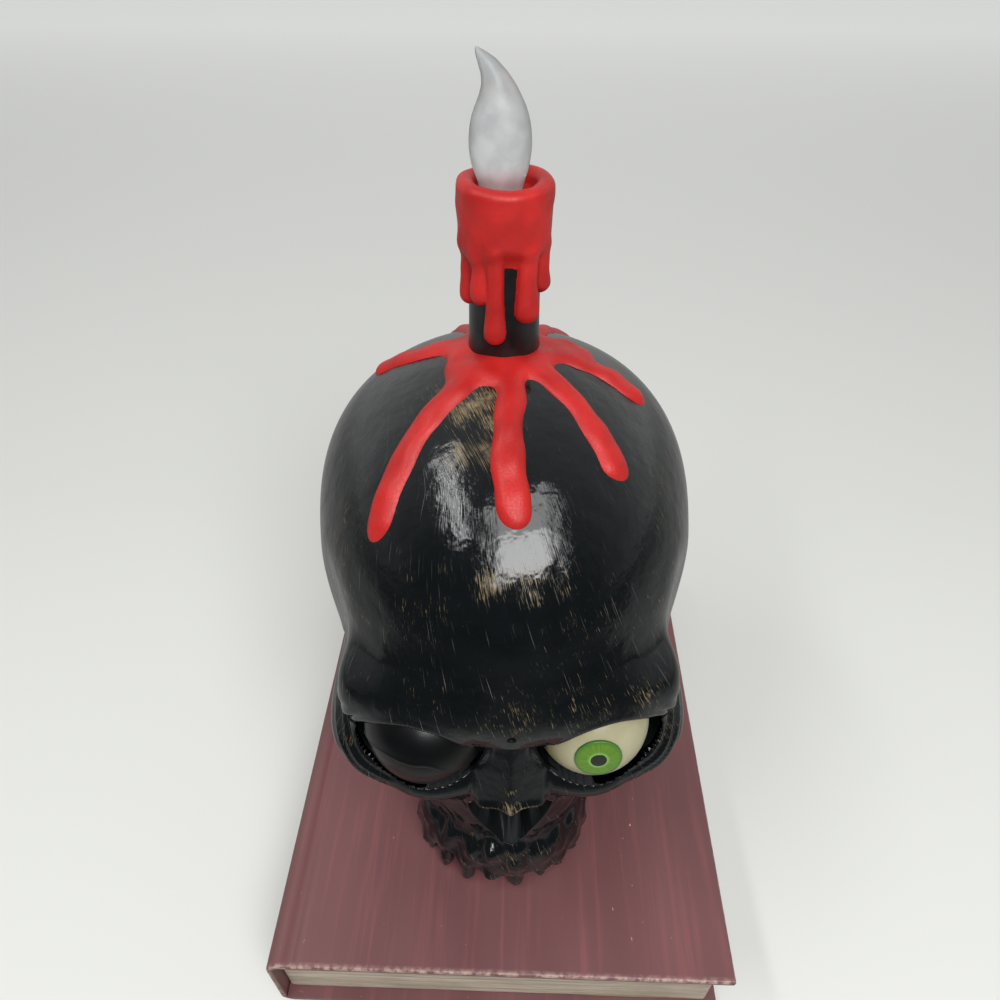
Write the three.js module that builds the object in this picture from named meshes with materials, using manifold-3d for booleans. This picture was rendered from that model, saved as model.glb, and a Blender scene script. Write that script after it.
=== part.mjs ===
// A battery-operated talking-skull ornament: a black two-part skull with a green eye and a winking lid,
// a dripping candle on its crown, standing on a base moulded as a closed book. Millimetres, +Z up,
// the face looks along -Y, the origin is the middle of the footprint at the floor.
import * as THREE from "three";
import { mergeVertices } from "three/addons/utils/BufferGeometryUtils.js";
import Module from "manifold-3d";

const wasm = await Module();
wasm.setup();

// Fits
const seat_gap = 0.3; // between pieces that rest on or in each other
const run_gap = 0.5; // between pieces that move past each other
const overrun = 4; // how far a cut runs past what it cuts

// Book base
const book_width = 182;
const book_length = 236;
const book_thickness = 40.5;
const cover_thickness = 2.5;
const spine_round = 6; // corner radius of the spine
const hinge_groove_inset = 8;
const hinge_groove_width = 3;
const hinge_groove_depth = 0.7;
const page_inset = 4.5; // how far the covers stand past the page block
const page_wall = 3;
const page_line_pitch = 5.4;
const page_line_depth = 0.5;
const foot_radius = 7;
const foot_thickness = 2.3;
const foot_recess = 0.8;
const foot_inset = 26; // from the book's edges to a foot's middle

// Screws
const screw_radius = 1.5;
const screw_head_radius = 3;
const screw_head_height = 1.9;
const boss_radius = 4.6;
const screw_grip = 10; // how deep a screw's end reaches into its boss
const web = 2.4; // plate left under a sunk screw head
const base_screw_inset = 14;
const base_post_height = 6.5;

// Battery bay and what stands in the book
const battery_radius = 7.1;
const battery_length = 49.2;
const battery_nub_radius = 2.7;
const battery_nub_height = 1.2;
const battery_count = 3;
const battery_pitch = 15.4;
const contact_thickness = 0.6;
const contact_height = 11;
const bay_wall = 2;
const bay_middle_y = 52;
const door_thickness = 2.1;
const door_ledge = 2.6;
const door_tab = 12; // the part of the door past the bay, where its screw sits
const door_travel = 20; // the stand-in travel when the door is lifted off
const speaker_radius = 25;
const speaker_flange = 2;
const speaker_cone_height = 8;
const speaker_magnet_radius = 11;
const speaker_magnet_height = 7;
const speaker_at = [40, -52];
const grille_slot_width = 3;
const grille_slot_pitch = 7;
const grille_slots = 5;
const board_size = [58, 44, 1.6];
const board_at = [-38, -52];
const board_post_height = 7;
const board_post_radius = 3;
const chip_size = [14, 10, 2.4];
const capacitor_radius = 3.2;
const capacitor_height = 8;
const switch_at_x = -44;
const switch_height = 21; // above the floor
const switch_travel = 4;
const switch_knob = [4, 3]; // along the travel, across it
const switch_knob_proud = 2.2;
const switch_body = [18, 7, 9];

// Skull, in the head's own frame: origin on the book's top below the candle
const head_at = [-2.2, 23];
const head_turn = THREE.MathUtils.degToRad(3.1); // the head stands a little askew on the book
const skull_width = 146; // of the braincase alone
const skull_length = 183;
const skull_height = 192;
const shell_wall = 2.8;
const seam_y = 8; // the plane where the two halves of the skull meet
const seam_lip = 3;
const floor_hole_radius = 7; // for the leads
const floor_hole_y = -12;

// Eyes
const eye_spacing = 59.4;
const eye_height = 88;
const eye_depth = -84; // behind the candle's line, so towards the face
const eye_radius = 20.5;
const eye_wall = 2;
const eye_back_cut = 9; // how far behind its middle the eyeball is open
const eye_swing = THREE.MathUtils.degToRad(22);
const iris_radius = 8.6;
const iris_depth = 1.2;
const pupil_radius = 3.3;
const pivot_pin_radius = 1.5;
const lid_wall = 1.6;
const lid_low_angle = THREE.MathUtils.degToRad(-36);
const lid_high_angle = THREE.MathUtils.degToRad(96);
const lid_axle_radius = 2;
const lid_ear_radius = 6;
const lid_crank_reach = 9;
const lid_crank_thickness = 1.8;
const lid_crank_lean = THREE.MathUtils.degToRad(27.5);
const lid_pin_radius = 1.2;
const socket_width = 43.5;
const socket_height = 30;
const socket_offset = [3.3, 3.2]; // outward and upward from the eye's middle
const socket_rim = 2.4;

// Eye frame and drive
const frame_back = 30; // from the eyes' axis to the plate
const frame_thickness = 2.4;
const frame_width = 82;
const frame_foot_width = 52;
const frame_foot_top = 62;
const frame_shoulder = 76;
const frame_bottom = 42;
const frame_top = 136;
const frame_corner = 9;
const frame_post = [[20, 49], [32, 128]]; // half spacing and height of the lower and upper screws
const arm_width = 7;
const arm_height = 6;
const arm_eye_radius = 4.4;
const horn_reach = 20;
const horn_width = 6.4;
const horn_thickness = 2.4;
const horn_drop = 18.6; // from the eye's middle to the underside of its horn
const horn_pin_radius = 1.5;
const horn_pin_length = 4.4;
const link_thickness = 3;
const link_width = 9.5;
const gearbox_size = [28, 32, 22];
const gearbox_top_drop = 28.5; // from the eyes' middle to the gearbox's top
const motor_radius = 10;
const motor_half_width = 7.5; // across its two flats
const motor_length = 26;
const motor_nose_radius = 3;
const motor_nose_length = 4.5;
const drive_shaft_radius = 2;
const coil_size = [17, 21, 17];
const plunger_radius = 2.5;
const plunger_into_coil = 9;
const fork_thickness = 1.8;
const fork_shank = 11; // flat part of the plunger, clear of the crank's swing

// Sensor in the forehead
const sensor_height = 105;
const sensor_hole_radius = 1.1;
const sensor_body_radius = 2.5;
const sensor_body_length = 5;
const sensor_boss_radius = 4.5;

// Candle
const post_radius = 12.3;
const post_taper = 0.7; // how much thinner the post is at its top
const post_top = 236;
const post_wall = 2.6;
const spigot_radius = 5;
const spigot_length = 12;
const nut_radius = 7.6;
const nut_thickness = 4;
const lining_slack = 1.2; // how far the coarse lining may stand below its true form
const cup_radius = 15.3;
const cup_bottom = 226;
const cup_top = 249.5;
const cup_lip = 3.4;
const drip_thickness = 2.7;
const cup_drip_drop = 27; // how far the longest run of wax hangs below the collar
const cup_drip_radius = 3.6;
const flame_base_radius = 6;
const flame_radius = 9.35;
const flame_bottom = 243;
const flame_top = 283.8;
const flame_lean = -8;
const led_radius = 2.5;
const led_height = 8.6;

// Wax on the crown
const splash_thickness = 3.4;
const splash_radius = 23;
const splash_reach = 70; // from the candle's axis to the end of the longest finger
const drip_tip_radius = 4.4;
const drip_root_radius = 5.6;

// Counts
const fine_sides = 24;
const eye_sides = 20;
const round_sides = 12;
const small_sides = 8;
const skin_detail = 10; // how often each edge of the skull's twenty faces is divided
const lining_detail = 5;

// Derived levels
const book_floor = foot_thickness + seat_gap - foot_recess;
const book_top = book_floor + book_thickness;
const cover_top_of_base = book_floor + cover_thickness;
const upper_bottom = cover_top_of_base + seat_gap;
const half_book = book_width / 2;
const half_length = book_length / 2;
const half_skull = skull_width / 2;

// Booleans and basic solids
function toSolid(geometry) {
  const bare = geometry.clone();
  bare.deleteAttribute("normal");
  bare.deleteAttribute("uv");
  const merged = mergeVertices(bare, 1e-4);
  const mesh = new wasm.Mesh({
    numProp: 3,
    vertProperties: Float32Array.from(merged.attributes.position.array),
    triVerts: Uint32Array.from(merged.index.array),
  });
  return new wasm.Manifold(mesh);
}

function toGeometry(solid) {
  const mesh = solid.getMesh();
  const geometry = new THREE.BufferGeometry();
  const points = new THREE.BufferAttribute(Float32Array.from(mesh.vertProperties), 3);
  geometry.setAttribute("position", points);
  geometry.setIndex(new THREE.BufferAttribute(Uint32Array.from(mesh.triVerts), 1));
  geometry.computeVertexNormals();
  return geometry;
}

const join = (first, ...rest) => rest.reduce((sum, next) => sum.add(next), first);
const cut = (first, ...rest) => rest.reduce((left, next) => left.subtract(next), first);
const common = (first, second) => first.intersect(second);

// A box between two corners.
function block([x0, y0, z0], [x1, y1, z1]) {
  const geometry = new THREE.BoxGeometry(x1 - x0, y1 - y0, z1 - z0);
  return toSolid(geometry.translate((x0 + x1) / 2, (y0 + y1) / 2, (z0 + z1) / 2));
}

// A cylinder between two points, with its own radius at each end.
function rod(from, to, radius, end_radius = radius, sides = round_sides) {
  const start = new THREE.Vector3(...from);
  const along = new THREE.Vector3(...to).sub(start);
  const geometry = new THREE.CylinderGeometry(end_radius, radius, along.length(), sides);
  const turn = new THREE.Quaternion().setFromUnitVectors(
    new THREE.Vector3(0, 1, 0),
    along.clone().normalize(),
  );
  const middle = start.clone().addScaledVector(along, 1 / 2);
  return toSolid(geometry.applyQuaternion(turn).translate(middle.x, middle.y, middle.z));
}

function ball(at, radius, sides = fine_sides) {
  const geometry = new THREE.SphereGeometry(radius, sides, Math.round(sides / 2));
  return toSolid(geometry.translate(...at));
}

// A profile of [radius, height] points turned round the vertical line through at.
function turned(profile, at = [0, 0, 0], sides = fine_sides) {
  const points = profile.map(([radius, height]) => new THREE.Vector2(radius, height));
  const geometry = new THREE.LatheGeometry(points, sides).rotateX(Math.PI / 2);
  return toSolid(geometry.translate(...at));
}

// An outline in x and z, carried along y from y0 to y1.
function prismAlongY(shape, y0, y1, curve_steps = 8) {
  const settings = { depth: y1 - y0, bevelEnabled: false, curveSegments: curve_steps };
  const geometry = new THREE.ExtrudeGeometry(shape, settings);
  return toSolid(geometry.rotateX(Math.PI / 2).translate(0, y1, 0));
}

// An outline in x and y, carried up from z0 to z1.
function prismUp(shape, z0, z1, curve_steps = 8) {
  const settings = { depth: z1 - z0, bevelEnabled: false, curveSegments: curve_steps };
  return toSolid(new THREE.ExtrudeGeometry(shape, settings).translate(0, 0, z0));
}

// An outline in y and z, carried along x from x0 to x1.
function prismAlongX(shape, x0, x1, curve_steps = 8) {
  const settings = { depth: x1 - x0, bevelEnabled: false, curveSegments: curve_steps };
  const geometry = new THREE.ExtrudeGeometry(shape, settings);
  return toSolid(geometry.rotateY(Math.PI / 2).rotateX(Math.PI / 2).translate(x0, 0, 0));
}

function roundedRectangle(x0, y0, x1, y1, radius) {
  const shape = new THREE.Shape();
  shape.moveTo(x0 + radius, y0);
  shape.lineTo(x1 - radius, y0);
  shape.absarc(x1 - radius, y0 + radius, radius, -Math.PI / 2, 0);
  shape.lineTo(x1, y1 - radius);
  shape.absarc(x1 - radius, y1 - radius, radius, 0, Math.PI / 2);
  shape.lineTo(x0 + radius, y1);
  shape.absarc(x0 + radius, y1 - radius, radius, Math.PI / 2, Math.PI);
  shape.lineTo(x0, y0 + radius);
  shape.absarc(x0 + radius, y0 + radius, radius, Math.PI, 1.5 * Math.PI);
  return shape;
}

// The outline of a belt round two circles, as wide at each end as that circle.
function beltShape([x0, y0], r0, [x1, y1], r1) {
  const heading = Math.atan2(y1 - y0, x1 - x0);
  const flank = Math.acos((r0 - r1) / Math.hypot(x1 - x0, y1 - y0));
  const shape = new THREE.Shape();
  shape.absarc(x0, y0, r0, heading + flank, heading - flank + 2 * Math.PI);
  shape.absarc(x1, y1, r1, heading - flank, heading + flank);
  shape.closePath();
  return shape;
}

// A screw along a unit direction, its head's outer face at the given place.
function screw(head_face, direction, length) {
  const profile = [
    [0, 0], [screw_head_radius, 0], [screw_head_radius, screw_head_height],
    [screw_radius, screw_head_height], [screw_radius, length], [0, length],
  ];
  const points = profile.map(([radius, along]) => new THREE.Vector2(radius, along));
  const geometry = new THREE.LatheGeometry(points, small_sides);
  const turn = new THREE.Quaternion().setFromUnitVectors(new THREE.Vector3(0, 1, 0), direction);
  return toSolid(geometry.applyQuaternion(turn).translate(...head_face));
}

// The skull's form: rounded masses of flesh-less bone, melted into each other. Places and half sizes
// are shares of the half width, the length and the height; the last value is the melt in millimetres
// per unit of skull height.
const mass_shares = [
  { at: [0, -0.06, 0.583], half: [1, 0.481, 0.417], melt: 0 },
  { at: [0.33, 0.044, 0.667], half: [0.6, 0.262, 0.232], melt: 0.09 },
  { at: [0, 0.077, 0.271], half: [0.685, 0.306, 0.302], melt: 0.125 },
  { at: [0.38, -0.448, 0.536], half: [0.33, 0.082, 0.047], melt: 0.06 },
  { at: [0.712, -0.393, 0.479], half: [0.11, 0.071, 0.104], melt: 0.062 },
  { at: [0.74, -0.366, 0.359], half: [0.178, 0.131, 0.068], melt: 0.062 },
  { at: [0.836, -0.219, 0.354], half: [0.096, 0.186, 0.047], melt: 0.062 },
  { at: [0.37, -0.415, 0.354], half: [0.37, 0.153, 0.073], melt: 0.062 },
  { at: [0, -0.383, 0.208], half: [0.452, 0.18, 0.208], melt: 0.073 },
  { at: [0, -0.404, 0.089], half: [0.466, 0.18, 0.078], melt: 0.052 },
  { at: [0, -0.497, 0.42], half: [0.11, 0.068, 0.11], melt: 0.042 },
  { at: [0.603, 0.033, 0.156], half: [0.164, 0.082, 0.125], melt: 0.073 },
];
const temple_share = { at: [1.041, -0.361, 0.594], half: [0.178, 0.131, 0.125], melt: 0.073 };

const inShares = ([x, y, z]) => [x * half_skull, y * skull_length, z * skull_height];

// How far a point lies outside a mass, which is mirrored to both sides of the face.
function massDistance({ at, half }, x, y, z) {
  const [mx, my, mz] = inShares(at);
  const [hx, hy, hz] = inShares(half);
  const dx = mx ? Math.abs(x) - mx : x;
  const dy = y - my;
  const dz = z - mz;
  const level = Math.hypot(dx / hx, dy / hy, dz / hz);
  const slope = Math.hypot(dx / hx / hx, dy / hy / hy, dz / hz / hz);
  return slope > 0 ? (level * (level - 1)) / slope : -Math.min(hx, hy, hz);
}

function melt(a, b, width) {
  const mix = Math.min(1, Math.max(0, 0.5 + (0.5 * (b - a)) / width));
  return b + (a - b) * mix - width * mix * (1 - mix);
}

function skullDistance(x, y, z) {
  let distance = massDistance(mass_shares[0], x, y, z);
  for (const mass of mass_shares.slice(1))
    distance = melt(distance, massDistance(mass, x, y, z), mass.melt * skull_height);
  const temple = massDistance(temple_share, x, y, z);
  return -melt(-distance, temple, temple_share.melt * skull_height);
}

const skull_middle = [0, -0.246 * skull_length, 0.443 * skull_height];

// Where the skin, sunk by a depth, is met on the way in from outside along one line.
function skinOnLine(from, to, depth = 0) {
  const point = (t) => from.map((start, axis) => start + (to[axis] - start) * t);
  const steps = 160;
  let inside = 1;
  for (let i = 0; i <= steps; i++)
    if (skullDistance(...point(i / steps)) < -depth) {
      inside = i / steps;
      break;
    }
  let low = inside - 1 / steps;
  let high = inside;
  for (let i = 0; i < 22; i++) {
    const middle = (low + high) / 2;
    if (skullDistance(...point(middle)) < -depth) high = middle;
    else low = middle;
  }
  return point(high);
}

// The whole skull as a closed solid whose skin is sunk by a depth, flat where it stands.
function skullSolid(depth, detail) {
  const geometry = new THREE.IcosahedronGeometry(1, detail);
  geometry.deleteAttribute("normal");
  geometry.deleteAttribute("uv");
  const merged = mergeVertices(geometry, 1e-4);
  const place = merged.attributes.position;
  const level = seat_gap + Math.max(depth, 0);
  for (let i = 0; i < place.count; i++) {
    const way = [place.getX(i), place.getY(i), place.getZ(i)];
    const far = skull_middle.map((middle, axis) => middle + way[axis] * skull_length);
    let skin = skinOnLine(far, skull_middle, depth);
    if (skin[2] < level) {
      const share = (level - skull_middle[2]) / (skin[2] - skull_middle[2]);
      skin = skull_middle.map((middle, axis) => middle + (skin[axis] - middle) * share);
    }
    place.setXYZ(i, ...skin);
  }
  return toSolid(merged);
}

const skull_outside = skullSolid(0, skin_detail);
const skull_inside = skullSolid(shell_wall, lining_detail);
const lip_outside = skullSolid(shell_wall / 2 + seat_gap / 2, lining_detail);
const lip_recess = skullSolid(shell_wall / 2 - seat_gap / 2, lining_detail);

const reach = 2 * skull_length; // longer than anything, for half spaces
const slab = (y0, y1) => block([-reach, y0, -reach], [reach, y1, reach]);
const skinFront = (x, z) => skinOnLine([x, -reach, z], [x, 0, z])[1];
const skinTop = (x, y) => skinOnLine([x, y, reach], [x, y, 0])[2];
const skinSide = (y, z) => skinOnLine([reach, y, z], [0, y, z])[0];

const eye_x = eye_spacing / 2;
const eyeAt = (side) => [side * eye_x, eye_depth, eye_height];
const lid_radius = eye_radius + run_gap + lid_wall;
const eye_clear_radius = lid_radius + run_gap;
const plate_front = eye_depth + frame_back;
const plate_back = plate_front + frame_thickness;

// The eye socket's outline, wide and flat below, higher towards the nose.
function socketShape(side, grow = 0) {
  const half_w = socket_width / 2 + grow;
  const half_h = socket_height / 2 + grow;
  const edge_shares = [
    [-1, -0.28], [-0.86, 0.3], [-0.42, 0.94], [0.14, 1.02], [0.66, 0.58],
    [1, -0.26], [0.82, -0.88], [0.3, -0.98], [-0.36, -0.94], [-0.82, -0.66],
  ];
  const points = edge_shares.map(([x, z]) => new THREE.Vector2(
    side * (eye_x + socket_offset[0] + x * half_w),
    eye_height + socket_offset[1] + z * half_h,
  ));
  const curve = new THREE.SplineCurve([...points, points[0]]);
  return new THREE.Shape(curve.getPoints(3 * edge_shares.length).slice(0, -1));
}

// The nose opening: two lobes above, drawn to a narrow end below.
const nose_top = 67;
const nose_bottom = 35;
const nose_width = 30;
function noseShape(grow = 0) {
  const height = nose_top - nose_bottom;
  const edge_shares = [
    [0, 0.97], [0.3, 1], [0.72, 0.9], [1, 0.7], [0.86, 0.46], [0.5, 0.22], [0.24, 0],
  ];
  const points = [];
  const add = (side, [x, z]) => points.push(new THREE.Vector2(
    side * (x * nose_width / 2 + (x ? grow : 0)),
    nose_bottom + z * height + (z > 0.5 ? grow : -grow),
  ));
  edge_shares.forEach((share) => add(1, share));
  edge_shares.slice(1).reverse().forEach((share) => add(-1, share));
  return new THREE.Shape(points);
}

// Teeth stand round the jaw's arch; the middle one is missing.
const arch_half_width = 31.5;
const arch_depth = 26;
const arch_back = -79.5;
const tooth_top = 17;
const tooth_radius = 3.1;
const tooth_tip_share = 0.62;
const tooth_places = [
  [-84, 0.9], [-66, 1], [-47, 1.05], [-27, 1.1], [8, 1.3], [27, 0.9], [43, 1], [61, 1], [80, 0.9],
];

function tooth([turn_degrees, size_share]) {
  const turn = THREE.MathUtils.degToRad(turn_degrees);
  const at = [arch_half_width * Math.sin(turn), arch_back - arch_depth * Math.cos(turn)];
  const radius = tooth_radius * size_share;
  return rod([...at, seat_gap], [...at, tooth_top], radius * tooth_tip_share, radius, 6);
}

// Bosses on the inside of the front half that carry the eye frame.
function frameBoss(side, [x, z]) {
  const front = skinFront(x, z);
  return common(
    rod([side * x, front - overrun, z], [side * x, plate_front - seat_gap, z], boss_radius),
    skull_outside,
  );
}

function frameBossHole(side, [x, z]) {
  const depth = plate_front - screw_grip - seat_gap;
  return rod(
    [side * x, plate_front + overrun, z],
    [side * x, depth, z],
    screw_radius + seat_gap,
    screw_radius + seat_gap,
    small_sides,
  );
}

const frame_places = [-1, 1].flatMap((side) => frame_post.map((place) => [side, place]));

// Screws that pull the rear half of the skull to the front half.
const shell_screw_height = 40;
const shell_screw_x = skinSide(seam_y, shell_screw_height) - shell_wall - boss_radius / 2;
const shell_screw_seat = seam_y + seat_gap + web;

function shellScrewPlaces(y) {
  return [-1, 1].map((side) => [side * shell_screw_x, y, shell_screw_height]);
}

const shell_boss_length = screw_grip + web;
const boss_hole = screw_radius + seat_gap;
const head_hole = screw_head_radius + seat_gap;

// Screws that hold the head on the book: two in the front half, one in the rear half.
const neck_post_height = 13;
const neck_places = [[-22, -66], [22, -66], [0, 26]];

const crown = skinTop(0, 0);
const candle_bore = spigot_radius + seat_gap;
const sensor_front = skinFront(0, sensor_height);

function faceShell() {
  const half = common(cut(skull_outside, skull_inside), slab(-reach, seam_y));
  const recess = common(lip_recess, slab(seam_y - seam_lip - seat_gap, seam_y + overrun));
  const front = skinFront(0, sensor_height) - 4 * overrun;
  let shell = cut(half, recess);
  for (const [side, place] of frame_places) shell = join(shell, frameBoss(side, place));
  const pocket_floor = plate_front - 2 * frame_thickness - gearbox_size[1] - seat_gap;
  const nose_wall = common(prismAlongY(noseShape(socket_rim), front, pocket_floor), skull_outside);
  shell = join(shell, nose_wall);
  for (const side of [-1, 1]) {
    const rim = common(
      prismAlongY(socketShape(side, socket_rim), front, eye_depth),
      skull_outside,
    );
    shell = join(shell, rim);
  }
  for (const place of tooth_places) shell = join(shell, tooth(place));
  for (const [x, y] of neck_places.slice(0, 2)) {
    const post = rod([x, y, seat_gap], [x, y, neck_post_height], boss_radius);
    shell = join(shell, common(post, slab(-reach, seam_y)));
  }
  for (const [x, y, z] of shellScrewPlaces(seam_y)) {
    const boss = rod([x, y - shell_boss_length, z], [x, y, z], boss_radius);
    shell = join(shell, common(boss, skull_outside));
  }
  const sensor_boss = rod(
    [0, sensor_front - overrun, sensor_height],
    [0, sensor_front + shell_wall + sensor_body_length, sensor_height],
    sensor_boss_radius,
  );
  shell = join(shell, common(sensor_boss, skull_outside));

  const nose_floor = pocket_floor - socket_rim;
  shell = cut(shell, prismAlongY(noseShape(), front, nose_floor));
  const septum = common(
    block(
      [-socket_rim / 4, nose_floor - nose_width / 3, nose_bottom],
      [socket_rim / 4, nose_floor + socket_rim / 2, nose_top - socket_rim],
    ),
    skull_outside,
  );
  shell = join(shell, septum);
  for (const side of [-1, 1]) {
    shell = cut(shell, prismAlongY(socketShape(side), front, eye_depth));
    shell = cut(shell, ball(eyeAt(side), eye_clear_radius));
  }
  for (const [side, place] of frame_places) shell = cut(shell, frameBossHole(side, place));
  for (const [x, y] of neck_places.slice(0, 2)) {
    const hole = rod([x, y, -overrun], [x, y, screw_grip + seat_gap], boss_hole, boss_hole, small_sides);
    shell = cut(shell, hole);
  }
  for (const [x, y, z] of shellScrewPlaces(seam_y)) {
    const depth = y - screw_grip - seat_gap;
    shell = cut(shell, rod([x, y + overrun, z], [x, depth, z], boss_hole, boss_hole, small_sides));
  }
  const sensor_back = sensor_front + shell_wall + sensor_body_length + overrun;
  shell = cut(
    shell,
    rod([0, sensor_front - overrun, sensor_height], [0, sensor_back, sensor_height],
      sensor_hole_radius, sensor_hole_radius, small_sides),
    rod([0, sensor_front + shell_wall, sensor_height], [0, sensor_back, sensor_height],
      sensor_body_radius + seat_gap),
    rod([0, 0, crown - overrun - shell_wall], [0, 0, crown + overrun], candle_bore),
    rod([0, floor_hole_y, -overrun], [0, floor_hole_y, shell_wall + overrun], floor_hole_radius),
  );
  return shell;
}

function rearShell() {
  const half = common(cut(skull_outside, skull_inside), slab(seam_y + seat_gap, reach));
  const lip_slab = slab(seam_y - seam_lip, seam_y + overrun);
  let lip = common(cut(lip_outside, skull_inside), lip_slab);
  for (const [x, y, z] of shellScrewPlaces(seam_y)) {
    const clear = boss_radius + seat_gap;
    lip = cut(lip, rod([x, y - shell_boss_length, z], [x, y + seat_gap, z], clear));
  }
  let shell = join(half, lip);
  for (const [x, y, z] of shellScrewPlaces(seam_y + seat_gap)) {
    shell = join(shell, common(rod([x, y, z], [x, skull_length, z], boss_radius), skull_outside));
  }
  const [[x, y]] = neck_places.slice(2);
  shell = join(shell, rod([x, y, seat_gap], [x, y, neck_post_height], boss_radius));
  shell = cut(
    shell,
    rod([x, y, -overrun], [x, y, screw_grip + seat_gap], boss_hole, boss_hole, small_sides),
  );
  for (const [bx, by, bz] of shellScrewPlaces(seam_y)) {
    shell = cut(
      shell,
      rod([bx, by - seat_gap, bz], [bx, skull_length, bz], boss_hole, boss_hole, small_sides),
      rod([bx, shell_screw_seat, bz], [bx, skull_length, bz], head_hole),
    );
  }
  return shell;
}

// A profile of [radius, distance in front of the eye's middle] turned about the eye's line of sight.
function eyeTurned(side, profile, sides) {
  const points = profile.map(([radius, ahead]) => new THREE.Vector2(radius, ahead));
  const geometry = new THREE.LatheGeometry(points, sides).rotateZ(Math.PI);
  return toSolid(geometry.translate(...eyeAt(side)));
}

// Points of a circular arc round the eye's middle, from one distance off its line of sight to another.
function eyeArc(radius, off_start, off_end, steps, behind_start = false) {
  const start = behind_start ? Math.PI - Math.asin(off_start / radius) : Math.asin(off_start / radius);
  const end = Math.asin(off_end / radius);
  return Array.from({ length: steps + 1 }, (_, i) => {
    const angle = start + ((end - start) * i) / steps;
    return [radius * Math.sin(angle), radius * Math.cos(angle)];
  });
}

// Eyeball: a hollow ball open behind, with a horn below that the link bar takes along.
const eye_inner_radius = eye_radius - eye_wall;
const outer_rim = Math.sqrt(eye_radius ** 2 - eye_back_cut ** 2);
const inner_rim = Math.sqrt(eye_inner_radius ** 2 - eye_back_cut ** 2);
const iris_seat_radius = iris_radius + seat_gap;
const iris_seat_depth = Math.sqrt((eye_radius - iris_depth) ** 2 - iris_seat_radius ** 2);

function eyeball(side) {
  const [x, y, z] = eyeAt(side);
  const horn_low = z - horn_drop;
  const horn_pin_at = [x, y + horn_reach];
  const outer = eyeArc(eye_radius, outer_rim, iris_seat_radius, 8, true);
  const seat = eyeArc(eye_radius - iris_depth, iris_seat_radius, 0, 3);
  const inner = eyeArc(eye_inner_radius, inner_rim, 0, 5, true).reverse();
  seat[seat.length - 1][0] = 0;
  inner[0][0] = 0;
  let shape = eyeTurned(side, [...inner, ...outer, ...seat], eye_sides);
  const horn = prismUp(
    roundedRectangle(
      x - horn_width / 2, y + eye_back_cut / 2,
      x + horn_width / 2, y + horn_reach + horn_width / 2,
      horn_width / 2 - seat_gap,
    ),
    horn_low,
    horn_low + horn_thickness,
    3,
  );
  const horn_pin = rod(
    [...horn_pin_at, horn_low + horn_thickness / 2],
    [...horn_pin_at, horn_low - horn_pin_length],
    horn_pin_radius,
    horn_pin_radius,
    small_sides,
  );
  shape = join(shape, horn, horn_pin);
  const pin_hole = pivot_pin_radius + seat_gap;
  return cut(
    shape,
    rod([x, y, z - eye_radius - overrun], [x, y, z + eye_radius + overrun], pin_hole, pin_hole, small_sides),
  );
}

function iris(side) {
  const pupil_hole = pupil_radius + seat_gap;
  const back_radius = eye_radius - iris_depth + seat_gap;
  const front = eyeArc(eye_radius, iris_radius, pupil_hole, 3);
  const back = eyeArc(back_radius, pupil_hole, iris_radius, 3);
  return eyeTurned(side, [...front, ...back, front[0]], eye_sides);
}

function pupil(side) {
  const back_radius = eye_radius - iris_depth + seat_gap;
  const front = eyeArc(eye_radius, pupil_radius, 0, 2);
  const back = eyeArc(back_radius, 0, pupil_radius, 2);
  front[front.length - 1][0] = 0;
  back[0][0] = 0;
  return eyeTurned(side, [...back, ...front], round_sides);
}

function eyePin(side) {
  const [x, y, z] = eyeAt(side);
  const half = eye_radius - seat_gap;
  return rod([x, y, z - half], [x, y, z + half], pivot_pin_radius, pivot_pin_radius, small_sides);
}

// Lid: a wedge of a hollow ball on one axle at its inner side.
const lid_side = -1;
const [lid_x, lid_y, lid_z] = eyeAt(lid_side);
const lid_inner_x = lid_x + lid_radius; // the lid's side towards the nose
const lid_boss_length = 6;
const lid_boss_start = lid_inner_x + run_gap;
const lid_boss_end = lid_boss_start + lid_boss_length;
const crank_start = lid_boss_end + run_gap;
const crank_end = crank_start + lid_crank_thickness;

function eyelid() {
  const at = [lid_x, lid_y, lid_z];
  const hollow = cut(ball(at, lid_radius, fine_sides), ball(at, lid_radius - lid_wall, fine_sides));
  const far = 3 * lid_radius;
  const ray = (angle) => new THREE.Vector2(
    lid_y - far * Math.cos(angle),
    lid_z + far * Math.sin(angle),
  );
  const middle_angle = (lid_low_angle + lid_high_angle) / 2;
  const wedge = new THREE.Shape([
    new THREE.Vector2(lid_y, lid_z),
    ray(lid_low_angle),
    ray(middle_angle),
    ray(lid_high_angle),
  ]);
  const x_span = [lid_x - far, lid_x + far];
  const ears = common(
    hollow,
    rod([x_span[0], lid_y, lid_z], [x_span[1], lid_y, lid_z], lid_ear_radius),
  );
  const axle = rod(
    [lid_inner_x - lid_wall, lid_y, lid_z],
    [crank_end, lid_y, lid_z],
    lid_axle_radius,
    lid_axle_radius,
    small_sides,
  );
  return join(common(hollow, prismAlongX(wedge, ...x_span)), ears, axle);
}

const crankPin = (turn) => [
  lid_y - lid_crank_reach * Math.sin(turn),
  lid_z + lid_crank_reach * Math.cos(turn),
];

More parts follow.
